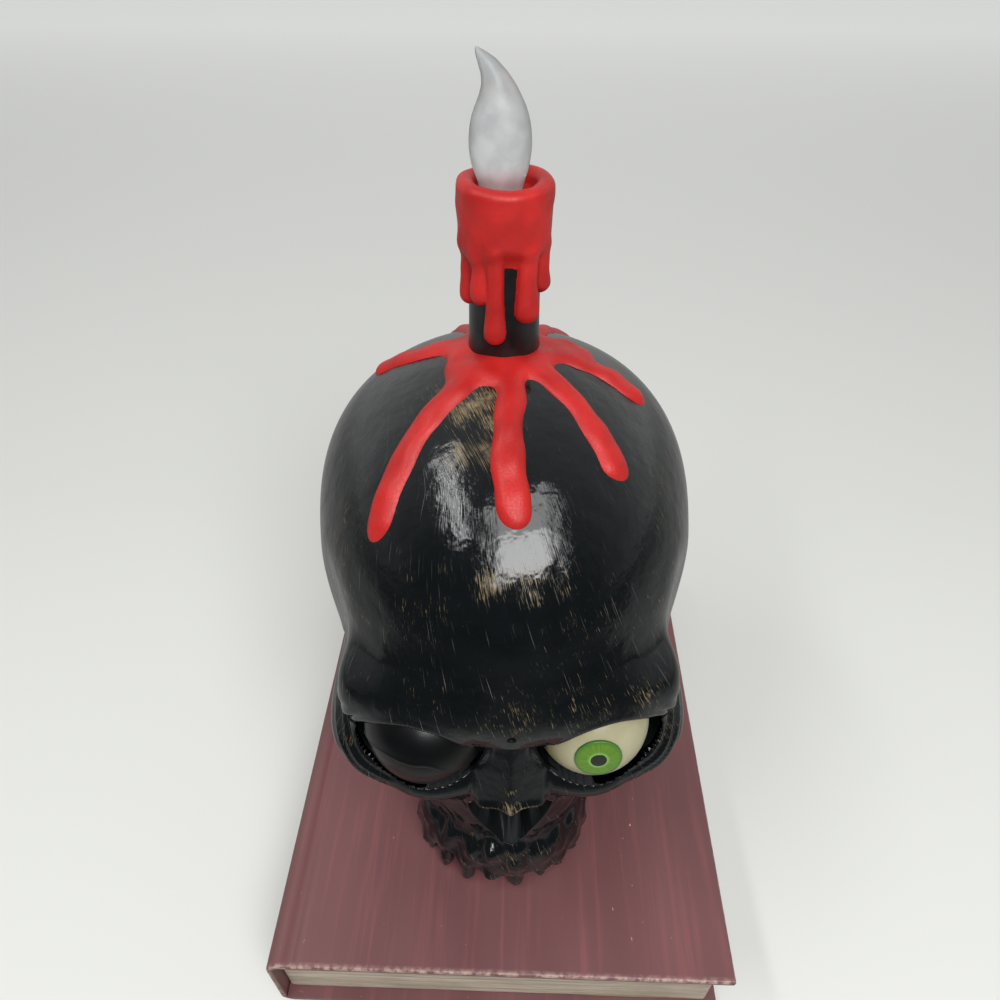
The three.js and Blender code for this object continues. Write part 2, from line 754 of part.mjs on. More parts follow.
function lidCrank() {
  const [pin_y, pin_z] = crankPin(lid_crank_lean);
  const eye_end = lid_axle_radius + 2 * seat_gap + lid_crank_thickness;
  const outline = beltShape([lid_y, lid_z], eye_end, [pin_y, pin_z], lid_pin_radius + seat_gap);
  const arm = prismAlongX(outline, crank_start, crank_end, 5);
  const pin = rod(
    [crank_start, pin_y, pin_z],
    [crank_end + fork_thickness + 2 * run_gap, pin_y, pin_z],
    lid_pin_radius,
    lid_pin_radius,
    small_sides,
  );
  const bore = lid_axle_radius + seat_gap;
  const hole = rod([crank_start - overrun, lid_y, lid_z], [crank_end + overrun, lid_y, lid_z], bore);
  return cut(join(arm, pin), hole);
}

// Plunger that pulls the lid's crank, and the coil it slides in.
const plunger_x = crank_end + run_gap + fork_thickness / 2;
const plunger_z = lid_z + lid_crank_reach;
const coil_front = plate_back + seat_gap;
const crank_throw = lid_crank_reach * Math.sin(lid_crank_lean);
const plunger_travel = 2 * crank_throw;

function lidPlunger() {
  const [pin_y] = crankPin(lid_crank_lean);
  const pin_clear = lid_pin_radius + run_gap;
  const drop = lid_crank_reach * (1 - Math.cos(lid_crank_lean));
  const fork_half = pin_clear + fork_thickness;
  const fork = block(
    [plunger_x - fork_thickness / 2, pin_y - fork_half, plunger_z - drop - fork_half],
    [plunger_x + fork_thickness / 2, pin_y + fork_half, plunger_z + fork_half],
  );
  const shank = block(
    [plunger_x - fork_thickness / 2, pin_y, plunger_z - plunger_radius],
    [plunger_x + fork_thickness / 2, pin_y + fork_shank + fork_thickness, plunger_z + plunger_radius],
  );
  const bar = rod(
    [plunger_x, pin_y + fork_shank, plunger_z],
    [plunger_x, coil_front + plunger_into_coil, plunger_z],
    plunger_radius,
  );
  const slot = block(
    [plunger_x - overrun, pin_y - pin_clear, plunger_z - drop - pin_clear],
    [plunger_x + overrun, pin_y + pin_clear, plunger_z + pin_clear],
  );
  return cut(join(fork, shank, bar), slot);
}

function lidCoil() {
  const [width, length, height] = coil_size;
  const body = block(
    [plunger_x - width / 2, coil_front, plunger_z - height / 2],
    [plunger_x + width / 2, coil_front + length, plunger_z + height / 2],
  );
  const bore_depth = plunger_into_coil + plunger_travel + run_gap;
  const bore = rod(
    [plunger_x, coil_front - overrun, plunger_z],
    [plunger_x, coil_front + bore_depth, plunger_z],
    plunger_radius + run_gap,
  );
  return cut(body, bore);
}

// Frame plate with its forward arms: one to each eye's pin and one to the lid's axle.
function frameOutline() {
  const half_w = frame_width / 2;
  const foot = frame_foot_width / 2;
  const shape = new THREE.Shape();
  shape.moveTo(-foot, frame_bottom);
  shape.lineTo(foot, frame_bottom);
  shape.lineTo(foot, frame_foot_top);
  shape.lineTo(half_w, frame_shoulder);
  shape.lineTo(half_w, frame_top - frame_corner);
  shape.absarc(half_w - frame_corner, frame_top - frame_corner, frame_corner, 0, Math.PI / 2);
  shape.absarc(-half_w + frame_corner, frame_top - frame_corner, frame_corner, Math.PI / 2, Math.PI);
  shape.lineTo(-half_w, frame_shoulder);
  shape.lineTo(-foot, frame_foot_top);
  return shape;
}

function eyeFrame() {
  let frame = prismAlongY(frameOutline(), plate_front, plate_back, 3);
  for (const side of [-1, 1]) {
    const [x, y, z] = eyeAt(side);
    const arm = block(
      [x - arm_width / 2, y, z - arm_height / 2],
      [x + arm_width / 2, plate_back, z + arm_height / 2],
    );
    const eye_end = rod([x, y, z - arm_height / 2], [x, y, z + arm_height / 2], arm_eye_radius);
    const hole = pivot_pin_radius + run_gap;
    frame = join(frame, arm, eye_end);
    frame = cut(frame, rod([x, y, z - arm_height], [x, y, z + arm_height], hole, hole, small_sides));
  }
  const lid_arm = block(
    [lid_boss_start, lid_y, lid_z - arm_height / 2],
    [lid_boss_end, plate_back, lid_z + arm_height / 2],
  );
  const lid_boss = rod([lid_boss_start, lid_y, lid_z], [lid_boss_end, lid_y, lid_z], arm_eye_radius);
  const lid_bore = lid_axle_radius + run_gap;
  frame = cut(
    join(frame, lid_arm, lid_boss),
    rod([lid_boss_start - overrun, lid_y, lid_z], [lid_boss_end + overrun, lid_y, lid_z], lid_bore),
  );
  for (const [side, [x, z]] of frame_places) {
    frame = cut(
      frame,
      rod([side * x, plate_front - overrun, z], [side * x, plate_back + overrun, z],
        boss_hole, boss_hole, small_sides),
    );
  }
  const motor_hole = motor_nose_radius + seat_gap;
  const plunger_hole = plunger_radius + run_gap;
  frame = cut(
    frame,
    rod([0, plate_front - overrun, motor_z], [0, plate_back + overrun, motor_z], motor_hole),
    rod([plunger_x, plate_front - overrun, plunger_z], [plunger_x, plate_back + overrun, plunger_z],
      plunger_hole),
  );
  for (const side of [-1, 1]) {
    const x = side * gearbox_screw_x;
    frame = cut(
      frame,
      rod([x, plate_front - overrun, motor_z], [x, plate_back + overrun, motor_z],
        boss_hole, boss_hole, small_sides),
    );
  }
  return frame;
}

// Gearbox, motor and the lever that swings with the eyes.
const gearbox_top = eye_height - gearbox_top_drop;
const motor_z = gearbox_top - gearbox_size[2] / 2;
const gearbox_back = plate_front - seat_gap;
const gearbox_screw_x = gearbox_size[0] / 2 - screw_head_radius;
const horn_low = eye_height - horn_drop;

function gearbox() {
  const [width, length, height] = gearbox_size;
  let box = block(
    [-width / 2, gearbox_back - length, gearbox_top - height],
    [width / 2, gearbox_back, gearbox_top],
  );
  const lid_line = gearbox_top - height / 3;
  const groove = cut(
    block(
      [-width, gearbox_back - 2 * length, lid_line],
      [width, gearbox_back + overrun, lid_line + seat_gap],
    ),
    block(
      [-width / 2 + seat_gap, gearbox_back - length + seat_gap, lid_line - overrun],
      [width / 2 - seat_gap, gearbox_back - seat_gap, lid_line + overrun],
    ),
  );
  box = cut(box, groove);
  const nose_hole = motor_nose_radius + seat_gap;
  const nose_depth = gearbox_back - motor_nose_length + frame_thickness;
  box = cut(
    box,
    rod([0, gearbox_back + overrun, motor_z], [0, nose_depth - seat_gap, motor_z], nose_hole),
    rod([0, eye_depth, gearbox_top - height / 2], [0, eye_depth, gearbox_top + overrun],
      drive_shaft_radius + run_gap),
  );
  for (const side of [-1, 1]) {
    const x = side * gearbox_screw_x;
    box = cut(
      box,
      rod([x, gearbox_back + overrun, motor_z], [x, gearbox_back - screw_grip, motor_z],
        boss_hole, boss_hole, small_sides),
    );
  }
  return box;
}

function driveMotor() {
  const start = plate_back + seat_gap;
  const can = rod([0, start, motor_z], [0, start + motor_length, motor_z], motor_radius);
  const sides = block(
    [-motor_half_width, start, motor_z - motor_radius],
    [motor_half_width, start + motor_length, motor_z + motor_radius],
  );
  const nose = rod(
    [0, start + seat_gap, motor_z],
    [0, start - motor_nose_length, motor_z],
    motor_nose_radius,
  );
  const rear = rod(
    [0, start + motor_length - seat_gap, motor_z],
    [0, start + motor_length + run_gap * 3, motor_z],
    motor_nose_radius,
  );
  return join(common(can, sides), nose, rear);
}

function driveLever() {
  const outline = beltShape(
    [0, eye_depth],
    horn_width / 2,
    [0, eye_depth + horn_reach],
    horn_width / 2 - seat_gap,
  );
  const arm = prismUp(outline, horn_low, horn_low + horn_thickness, 5);
  const shaft = rod(
    [0, eye_depth, gearbox_top - gearbox_size[2] / 2 + run_gap],
    [0, eye_depth, horn_low + horn_thickness / 2],
    drive_shaft_radius,
  );
  const pin = rod(
    [0, eye_depth + horn_reach, horn_low + horn_thickness / 2],
    [0, eye_depth + horn_reach, horn_low - horn_pin_length],
    horn_pin_radius,
    horn_pin_radius,
    small_sides,
  );
  return join(arm, shaft, pin);
}

// The bar that ties both horns and the lever together, with a slot at each pin.
function linkBar() {
  const top = horn_low - run_gap;
  const pin_clear = horn_pin_radius + run_gap;
  const back_shift = horn_reach * (1 - Math.cos(eye_swing));
  const middle_y = eye_depth + horn_reach - back_shift / 2;
  const half_length_x = eye_x + link_width / 2;
  const bar = prismUp(
    roundedRectangle(
      -half_length_x, middle_y - link_width / 2,
      half_length_x, middle_y + link_width / 2,
      link_width / 2 - seat_gap,
    ),
    top - link_thickness,
    top,
    4,
  );
  const slots = [-eye_x, 0, eye_x].map((x) => block(
    [x - pin_clear, middle_y - back_shift / 2 - pin_clear, top - link_thickness - overrun],
    [x + pin_clear, middle_y + back_shift / 2 + pin_clear, top + overrun],
  ));
  return cut(bar, ...slots);
}

function sensor() {
  const face = sensor_front + shell_wall + seat_gap;
  const body = rod(
    [0, face, sensor_height],
    [0, face + sensor_body_length - seat_gap, sensor_height],
    sensor_body_radius,
  );
  const nose_radius = sensor_hole_radius - seat_gap;
  const nose = rod(
    [0, face + seat_gap, sensor_height],
    [0, sensor_front + seat_gap, sensor_height],
    nose_radius,
    nose_radius,
    small_sides,
  );
  return join(body, nose);
}

// Candle
const splash_skin = skullSolid(-seat_gap, skin_detail);
const splash_top = skullSolid(-seat_gap - splash_thickness, skin_detail);
const cup_bore = post_radius + seat_gap;

function candlePost() {
  const bore = post_radius - post_wall;
  const body = cut(
    turned([
      [0, crown - overrun], [post_radius, crown - overrun],
      [post_radius - post_taper, post_top], [0, post_top],
    ]),
    splash_skin,
  );
  const spigot = rod([0, 0, crown - spigot_length], [0, 0, crown + 2 * seat_gap], spigot_radius);
  const lead_bore = spigot_radius / 2;
  return cut(
    join(body, spigot),
    rod([0, 0, crown + overrun], [0, 0, post_top + overrun], bore - post_taper),
    rod([0, 0, crown - spigot_length - overrun], [0, 0, crown + 2 * overrun], lead_bore),
  );
}

function candleNut() {
  const top = skinOnLine([nut_radius, 0, reach], [nut_radius, 0, 0], shell_wall)[2] - seat_gap;
  const side_low = skinOnLine([0, -nut_radius, reach], [0, -nut_radius, 0], shell_wall)[2] - seat_gap;
  const level = Math.min(top, side_low) - lining_slack;
  return cut(
    rod([0, 0, level - nut_thickness], [0, 0, level], nut_radius, nut_radius, 6),
    rod([0, 0, level - 2 * nut_thickness], [0, 0, level + overrun], spigot_radius + seat_gap),
  );
}

// Wax cup: a thick rolled collar with runs of wax down the post.
const cup_drip_shares = [
  { turn: -104, drop: 1, girth: 1 },
  { turn: -131, drop: 0.52, girth: 0.88 },
  { turn: -57, drop: 0.7, girth: 1.05 },
  { turn: -168, drop: 0.61, girth: 0.84 },
  { turn: -19, drop: 0.44, girth: 0.94 },
  { turn: 96, drop: 0.78, girth: 0.92 },
  { turn: 48, drop: 0.48, girth: 0.94 },
  { turn: 138, drop: 0.44, girth: 0.88 },
];

function waxCup() {
  const round = cup_lip / 2;
  const well = cup_radius - cup_lip;
  const floor = flame_bottom - seat_gap;
  let cup = turned([
    [0, cup_bottom], [cup_radius - round, cup_bottom], [cup_radius, cup_bottom + round],
    [cup_radius - seat_gap, (cup_bottom + cup_top) / 2],
    [cup_radius, cup_top - round], [cup_radius - round / 2, cup_top - round / 3],
    [cup_radius - round, cup_top], [well, cup_top - round], [well - round, floor], [0, floor],
  ]);
  for (const { turn, drop, girth } of cup_drip_shares) {
    const angle = THREE.MathUtils.degToRad(turn);
    const low = cup_bottom - drop * cup_drip_drop;
    const radius = girth * cup_drip_radius;
    const reach_out = post_radius + seat_gap + drip_thickness - radius;
    const at = [reach_out * Math.cos(angle), reach_out * Math.sin(angle)];
    const tip = [...at, low + radius];
    cup = join(cup, rod([...at, cup_bottom + round * 2], tip, radius, radius, small_sides));
    cup = join(cup, ball(tip, radius, small_sides));
  }
  return cut(
    cup,
    rod([0, 0, crown], [0, 0, post_top + seat_gap], cup_bore, cup_bore, fine_sides),
    rod([0, 0, crown], [0, 0, floor + overrun], led_radius + seat_gap),
    splash_top,
  );
}

function flame() {
  const height = flame_top - flame_bottom;
  const profile_shares = [
    [0.64, 0], [0.7, 0.08], [0.85, 0.18], [0.98, 0.31], [1, 0.44], [0.85, 0.595], [0.6, 0.73],
    [0.44, 0.83], [0.27, 0.91],
  ];
  const points = [
    [0, 0],
    ...profile_shares.map(([radius, up]) => [radius * flame_radius, up * height]),
    [0, height],
  ];
  const profile = points.map(([radius, up]) => new THREE.Vector2(radius, up));
  const geometry = new THREE.LatheGeometry(profile, round_sides).rotateX(Math.PI / 2);
  const place = geometry.attributes.position;
  for (let i = 0; i < place.count; i++) {
    const up_share = place.getZ(i) / height;
    place.setX(i, place.getX(i) + flame_lean * Math.pow(Math.max(0, up_share), 6));
  }
  const body = toSolid(geometry.translate(0, 0, flame_bottom));
  const socket = rod(
    [0, 0, flame_bottom - overrun],
    [0, 0, flame_bottom + led_height / 2],
    led_radius + seat_gap,
  );
  return cut(body, socket);
}

function flameLight() {
  const top = flame_bottom + led_height / 2 - seat_gap;
  const low = top - led_height;
  return join(
    rod([0, 0, low], [0, 0, top - led_radius], led_radius),
    ball([0, 0, top - led_radius], led_radius, round_sides),
  );
}

// The splash: a round patch with fingers of wax that follow the skull down.
const splash_run_shares = [
  { turn: -126.5, reach: 1, root: 0.98, tip: 1.16 },
  { turn: -89, reach: 0.93, root: 0.86, tip: 1.3 },
  { turn: -54, reach: 0.82, root: 0.86, tip: 1.18 },
  { turn: -11, reach: 0.67, root: 1.04, tip: 1.05 },
  { turn: 180, reach: 0.62, root: 1.1, tip: 1.05 },
  { turn: 60, reach: 0.74, root: 1.1, tip: 1 },
  { turn: 112, reach: 0.86, root: 1.05, tip: 1 },
];

function waxSplash() {
  const low = crown - splash_radius * 2;
  const high = crown + 4 * splash_thickness;
  let patch = rod([0, 0, low], [0, 0, high], splash_radius);
  for (const { turn, reach: run, root, tip } of splash_run_shares) {
    const angle = THREE.MathUtils.degToRad(turn);
    const out = [Math.cos(angle), Math.sin(angle)];
    const start = out.map((share) => share * (splash_radius - drip_root_radius));
    const end = out.map((share) => share * run * splash_reach);
    const outline = beltShape(start, root * drip_root_radius, end, tip * drip_tip_radius);
    patch = join(patch, prismUp(outline, low, high, 5));
  }
  const layer = cut(splash_top, splash_skin);
  const post_hole = post_radius + seat_gap;
  return cut(common(layer, patch), rod([0, 0, low], [0, 0, high], post_hole, post_hole, fine_sides));
}

// Book
const page_x = [-half_book + cover_thickness + seat_gap, half_book - page_inset];
const page_y = [-half_length + page_inset, half_length - page_inset];
const board_underside = book_top - cover_thickness;
const base_screw_places = [-1, 1].flatMap((sx) => [-1, 1].map((sy) => [
  sx * (half_book - base_screw_inset),
  sy * (half_length - base_screw_inset),
]));
const base_post_top = book_floor + base_post_height;

function coverOutline() {
  const shape = new THREE.Shape();
  const left = -half_book;
  const right = half_book;
  const inner = spine_round - cover_thickness;
  const turn_x = left + spine_round;
  const groove_x = left + hinge_groove_inset;
  const quarter = Math.PI / 2;
  shape.moveTo(right, book_floor);
  shape.lineTo(right, cover_top_of_base);
  shape.lineTo(turn_x, cover_top_of_base);
  shape.absarc(turn_x, cover_top_of_base + inner, inner, -quarter, -2 * quarter, true);
  shape.lineTo(left + cover_thickness, board_underside - inner);
  shape.absarc(turn_x, board_underside - inner, inner, 2 * quarter, quarter, true);
  shape.lineTo(right, board_underside);
  shape.lineTo(right, book_top);
  shape.lineTo(groove_x + hinge_groove_width, book_top);
  shape.lineTo(groove_x + hinge_groove_width / 2, book_top - hinge_groove_depth);
  shape.lineTo(groove_x, book_top);
  shape.lineTo(turn_x, book_top);
  shape.absarc(turn_x, book_top - spine_round, spine_round, quarter, 2 * quarter);
  shape.lineTo(left, book_floor + spine_round);
  shape.absarc(turn_x, book_floor + spine_round, spine_round, 2 * quarter, 3 * quarter);
  return shape;
}

const headFrame = new THREE.Matrix4()
  .makeRotationZ(head_turn)
  .setPosition(head_at[0], head_at[1], book_top);

const inHead = (solid) => solid.transform(headFrame.elements);

function bookUpperShell() {
  const wide = 2 * book_width;
  const cover = common(
    prismAlongY(coverOutline(), -half_length, half_length, 5),
    block([-wide, -wide, upper_bottom], [wide, wide, wide]),
  );
  const pages = block(
    [page_x[0] - 2 * seat_gap, page_y[0], upper_bottom],
    [page_x[1], page_y[1], board_underside + seat_gap],
  );
  const cavity = block(
    [page_x[0] + page_wall, page_y[0] + page_wall, upper_bottom - overrun],
    [page_x[1] - page_wall, page_y[1] - page_wall, board_underside],
  );
  let shell = cut(join(cover, pages), cavity);
  const lines = Math.floor((board_underside - upper_bottom) / page_line_pitch);
  for (let i = 1; i <= lines; i++) {
    const z = upper_bottom + i * page_line_pitch;
    const ring = cut(
      block(
        [page_x[0] + page_wall, page_y[0] - overrun, z],
        [page_x[1] + overrun, page_y[1] + overrun, z + page_line_depth],
      ),
      block(
        [page_x[0], page_y[0] + page_line_depth, z - overrun],
        [page_x[1] - page_line_depth, page_y[1] - page_line_depth, z + overrun],
      ),
    );
    shell = cut(shell, ring);
  }
  const boss_bottom = base_post_top + seat_gap;
  for (const [x, y] of base_screw_places) {
    shell = join(shell, rod([x, y, boss_bottom], [x, y, board_underside + seat_gap], boss_radius));
    shell = cut(
      shell,
      rod([x, y, upper_bottom], [x, y, boss_bottom + screw_grip + seat_gap],
        boss_hole, boss_hole, small_sides),
    );
  }
  for (const [x, y] of neck_places) {
    const hole = inHead(rod([x, y, -3 * cover_thickness], [x, y, overrun], boss_hole, boss_hole, small_sides));
    shell = cut(shell, hole);
  }
  const lead_hole = rod([0, floor_hole_y, -3 * cover_thickness], [0, floor_hole_y, overrun], floor_hole_radius);
  shell = cut(shell, inHead(lead_hole));
  const slot_half = (switch_knob[0] + switch_travel) / 2 + run_gap;
  const slot_rise = switch_knob[1] / 2 + run_gap;
  return cut(shell, block(
    [switch_at_x - slot_half, page_y[1] - page_wall - overrun, switch_height - slot_rise],
    [switch_at_x + slot_half, page_y[1] + overrun, switch_height + slot_rise],
  ));
}

// Bay for the cells, in the lower cover
const bay_half_x = (battery_count * battery_pitch) / 2;
const contact_room = contact_thickness + 2 * seat_gap;
const battery_total = battery_length + battery_nub_height;
const bay_half_y = battery_total / 2 + contact_room;
const door_top = book_floor + door_thickness;
const battery_z = door_top + seat_gap + battery_radius;
const bay_roof = battery_z + battery_radius + seat_gap;
const bay_low_y = bay_middle_y - bay_half_y;
const bay_high_y = bay_middle_y + bay_half_y;
const door_screw_y = bay_high_y + bay_wall + boss_radius - seat_gap;
const foot_places = [-1, 1].flatMap((sx) => [-1, 1].map((sy) => [
  sx * (half_book - foot_inset),
  sy * (half_length - foot_inset),
]));

function bookLowerCover() {
  const wide = 2 * book_width;
  let cover = common(
    prismAlongY(coverOutline(), -half_length, half_length, 5),
    block([-wide, -wide, -wide], [wide, wide, cover_top_of_base]),
  );
  for (const [x, y] of base_screw_places) {
    cover = join(cover, rod([x, y, book_floor], [x, y, base_post_top], boss_radius));
    cover = cut(
      cover,
      rod([x, y, book_floor - overrun], [x, y, base_post_top - web], head_hole),
      rod([x, y, book_floor], [x, y, base_post_top + overrun], boss_hole, boss_hole, small_sides),
    );
  }
  for (const [x, y] of foot_places) {
    const recess = foot_radius + seat_gap;
    cover = cut(cover, rod([x, y, book_floor - overrun], [x, y, book_floor + foot_recess], recess));
  }
  const bay = block(
    [-bay_half_x - bay_wall, bay_low_y - bay_wall, book_floor],
    [bay_half_x + bay_wall, bay_high_y + bay_wall, bay_roof + bay_wall],
  );
  const tab_boss = rod(
    [0, door_screw_y, book_floor],
    [0, door_screw_y, door_top + screw_grip + bay_wall],
    boss_radius,
  );
  const ledge_pad = block(
    [-bay_half_x - bay_wall - door_ledge, bay_low_y - bay_wall - door_ledge, book_floor],
    [bay_half_x + bay_wall + door_ledge, bay_high_y + door_tab + bay_wall, door_top + bay_wall],
  );
  cover = join(cover, bay, tab_boss, ledge_pad);
  const seat = seat_gap;
  cover = cut(
    cover,
    block([-bay_half_x, bay_low_y, book_floor - overrun], [bay_half_x, bay_high_y, bay_roof]),
    block(
      [-bay_half_x - door_ledge - seat, bay_low_y - door_ledge - seat, book_floor - overrun],
      [bay_half_x + door_ledge + seat, bay_high_y + door_tab + seat, door_top + seat],
    ),
    rod([0, door_screw_y, book_floor], [0, door_screw_y, door_top + screw_grip + seat],
      boss_hole, boss_hole, small_sides),
  );
  const [sx, sy] = speaker_at;
  const ring = cut(
    rod([sx, sy, book_floor], [sx, sy, upper_bottom + speaker_flange],
      speaker_radius + seat_gap + bay_wall),
    rod([sx, sy, cover_top_of_base], [sx, sy, upper_bottom + 2 * speaker_flange],
      speaker_radius + seat_gap),
  );
  cover = join(cover, ring);
  for (let i = 0; i < grille_slots; i++) {
    const y = sy + (i - (grille_slots - 1) / 2) * grille_slot_pitch;
    const half = Math.sqrt((speaker_radius - speaker_flange) ** 2 - (y - sy) ** 2) - grille_slot_width;
    cover = cut(cover, block(
      [sx - half, y - grille_slot_width / 2, book_floor - overrun],
      [sx + half, y + grille_slot_width / 2, cover_top_of_base + seat_gap / 2],
    ));
  }
  const [bx, by] = board_at;
  for (const px of [-1, 1])
    for (const py of [-1, 1]) {
      const x = bx + px * (board_size[0] / 2 - board_post_radius);
      const y = by + py * (board_size[1] / 2 - board_post_radius);
      const post_end = cover_top_of_base + board_post_height;
      cover = join(cover, rod([x, y, book_floor], [x, y, post_end], board_post_radius, board_post_radius, small_sides));
    }
  return cover;
}

function batteryDoor() {
  const half_x = bay_half_x + door_ledge;
  const door = prismUp(
    roundedRectangle(-half_x, bay_low_y - door_ledge, half_x, bay_high_y + door_tab, door_ledge / 2),
    book_floor,
    door_top,
    2,
  );
  const sunk = screw_head_height / 2 + seat_gap;
  return cut(
    door,
    rod([0, door_screw_y, book_floor - overrun], [0, door_screw_y, book_floor + sunk], head_hole),
    rod([0, door_screw_y, book_floor - overrun], [0, door_screw_y, door_top + overrun],
      boss_hole, boss_hole, small_sides),
  );
}

function doorScrew() {
  const head_low = book_floor;
  const head_high = book_floor + screw_head_height / 2;
  return join(
    rod([0, door_screw_y, head_low], [0, door_screw_y, head_high], screw_head_radius),
    rod([0, door_screw_y, head_low], [0, door_screw_y, door_top + screw_grip - seat_gap],
      screw_radius, screw_radius, small_sides),
  );
}

function battery(index) {
  const x = (index - (battery_count - 1) / 2) * battery_pitch;
  const way = index % 2 ? -1 : 1;
  const start = bay_middle_y - (way * battery_total) / 2;
  const shoulder = start + way * battery_length;
  const end = start + way * battery_total;
  return join(
    rod([x, start, battery_z], [x, shoulder, battery_z], battery_radius),
    rod([x, shoulder - way * seat_gap, battery_z], [x, end, battery_z],
      battery_nub_radius, battery_nub_radius, small_sides),
  );
}

function contactStrip(side) {
  const inner = bay_middle_y + side * (bay_half_y - seat_gap - contact_thickness);
  const outer = bay_middle_y + side * (bay_half_y - seat_gap);
  const half_x = bay_half_x - seat_gap;
  return block(
    [-half_x, Math.min(inner, outer), battery_z - contact_height / 2],
    [half_x, Math.max(inner, outer), battery_z + contact_height / 2],
  );
}

function speaker() {
  const low = upper_bottom;
  const flange = low + speaker_flange;
  const cone = flange + speaker_cone_height;
  const top = cone + speaker_magnet_height;
  return turned([
    [0, low + speaker_flange / 2], [speaker_radius * 0.84, low + speaker_flange / 2],
    [speaker_radius * 0.84, low], [speaker_radius, low], [speaker_radius, flange],
    [speaker_radius * 0.88, flange], [speaker_magnet_radius + speaker_flange, cone],
    [speaker_magnet_radius, cone], [speaker_magnet_radius, top], [0, top],
  ], [...speaker_at, 0], round_sides);
}

function circuitBoard() {
  const [length, width, thick] = board_size;
  const [x, y] = board_at;
  const low = cover_top_of_base + board_post_height + seat_gap;
  const high = low + thick;
  const [chip_x, chip_y, chip_z] = chip_size;
  const board = block([x - length / 2, y - width / 2, low], [x + length / 2, y + width / 2, high]);
  const chip = block([x - chip_x / 2, y - chip_y / 2, low], [x + chip_x / 2, y + chip_y / 2, high + chip_z]);
  const can = rod(
    [x + length / 3, y - width / 4, low],
    [x + length / 3, y - width / 4, high + capacitor_height],
    capacitor_radius,
    capacitor_radius,
    small_sides,
  );
  const plug = block(
    [x - length / 2 + chip_z, y + width / 4 - chip_z, low],
    [x - length / 2 + chip_y, y + width / 4 + chip_z, high + 2 * chip_z],
  );
  return join(board, chip, can, plug);
}

// Slide switch on the rear edge of the pages
const switch_face = page_y[1] - page_wall - seat_gap;
const switch_rest_x = switch_at_x - switch_travel / 2;
const switch_tongue = 3;

function switchBody() {
  const [length, depth, height] = switch_body;
  const body = block(
    [switch_at_x - length / 2, switch_face - depth, switch_height - height / 2],
    [switch_at_x + length / 2, switch_face, switch_height + height / 2],
  );
  const half = (switch_knob[0] + switch_travel) / 2 + run_gap;
  const rise = switch_knob[1] / 2 + run_gap;
  return cut(body, block(
    [switch_at_x - half, switch_face - switch_tongue - run_gap, switch_height - rise],
    [switch_at_x + half, switch_face + overrun, switch_height + rise],
  ));
}

function switchKnob() {
  return block(
    [switch_rest_x - switch_knob[0] / 2, switch_face - switch_tongue, switch_height - switch_knob[1] / 2],
    [switch_rest_x + switch_knob[0] / 2, page_y[1] + switch_knob_proud, switch_height + switch_knob[1] / 2],
  );
}

// Materials
const paint = (color, roughness, metalness = 0) =>
  new THREE.MeshStandardMaterial({ color, roughness, metalness });
const black_shell = paint(0x141517, 0.28);
const red_wax = paint(0xc8322f, 0.42);
const burgundy_cover = paint(0x6b4545, 0.5);
const eye_white = paint(0xe5dfc0, 0.25);
const eye_green = paint(0x6fb52c, 0.3);
const eye_black = paint(0x2a2d2e, 0.3);
const frosted = paint(0xd6d8dc, 0.35);
const grey_plastic = paint(0x5a5d60, 0.5);
const white_plastic = paint(0xd9d6cc, 0.45);
const steel = paint(0xb4b7ba, 0.35, 1);
const dark_rubber = paint(0x202124, 0.8);
const board_green = paint(0x2d5a3a, 0.5);
const cell_skin = paint(0x3a3c40, 0.4);

const ornament = new THREE.Group();
const head = new THREE.Group();
head.position.set(head_at[0], head_at[1], book_top);
head.rotation.z = head_turn;
ornament.add(head);

function add(group, name, solid, material) {
  const mesh = new THREE.Mesh(toGeometry(solid), material);
  mesh.name = name;
  group.add(mesh);
}

const down = new THREE.Vector3(0, 0, -1);
const up = new THREE.Vector3(0, 0, 1);
const forward = new THREE.Vector3(0, -1, 0);

add(ornament, "book_upper_shell", bookUpperShell(), burgundy_cover);
add(ornament, "book_lower_cover", bookLowerCover(), burgundy_cover);
base_screw_places.forEach(([x, y], i) => {
  const head_low = base_post_top - web - seat_gap - screw_head_height;
  const reach_up = base_post_top + screw_grip - head_low;
  add(ornament, "base_screw_" + (i + 1), screw([x, y, head_low], up, reach_up), steel);
});
foot_places.forEach(([x, y], i) => {
  const pad = rod([x, y, 0], [x, y, foot_thickness], foot_radius);
  add(ornament, "foot_pad_" + (i + 1), pad, dark_rubber);
});
add(ornament, "battery_door", batteryDoor(), burgundy_cover);
add(ornament, "battery_door_screw", doorScrew(), steel);
for (let i = 0; i < battery_count; i++) add(ornament, "battery_" + (i + 1), battery(i), cell_skin);
add(ornament, "battery_contact_front", contactStrip(-1), steel);
add(ornament, "battery_contact_rear", contactStrip(1), steel);
add(ornament, "speaker", speaker(), grey_plastic);
add(ornament, "circuit_board", circuitBoard(), board_green);
add(ornament, "switch_body", switchBody(), grey_plastic);
add(ornament, "power_switch", switchKnob(), dark_rubber);

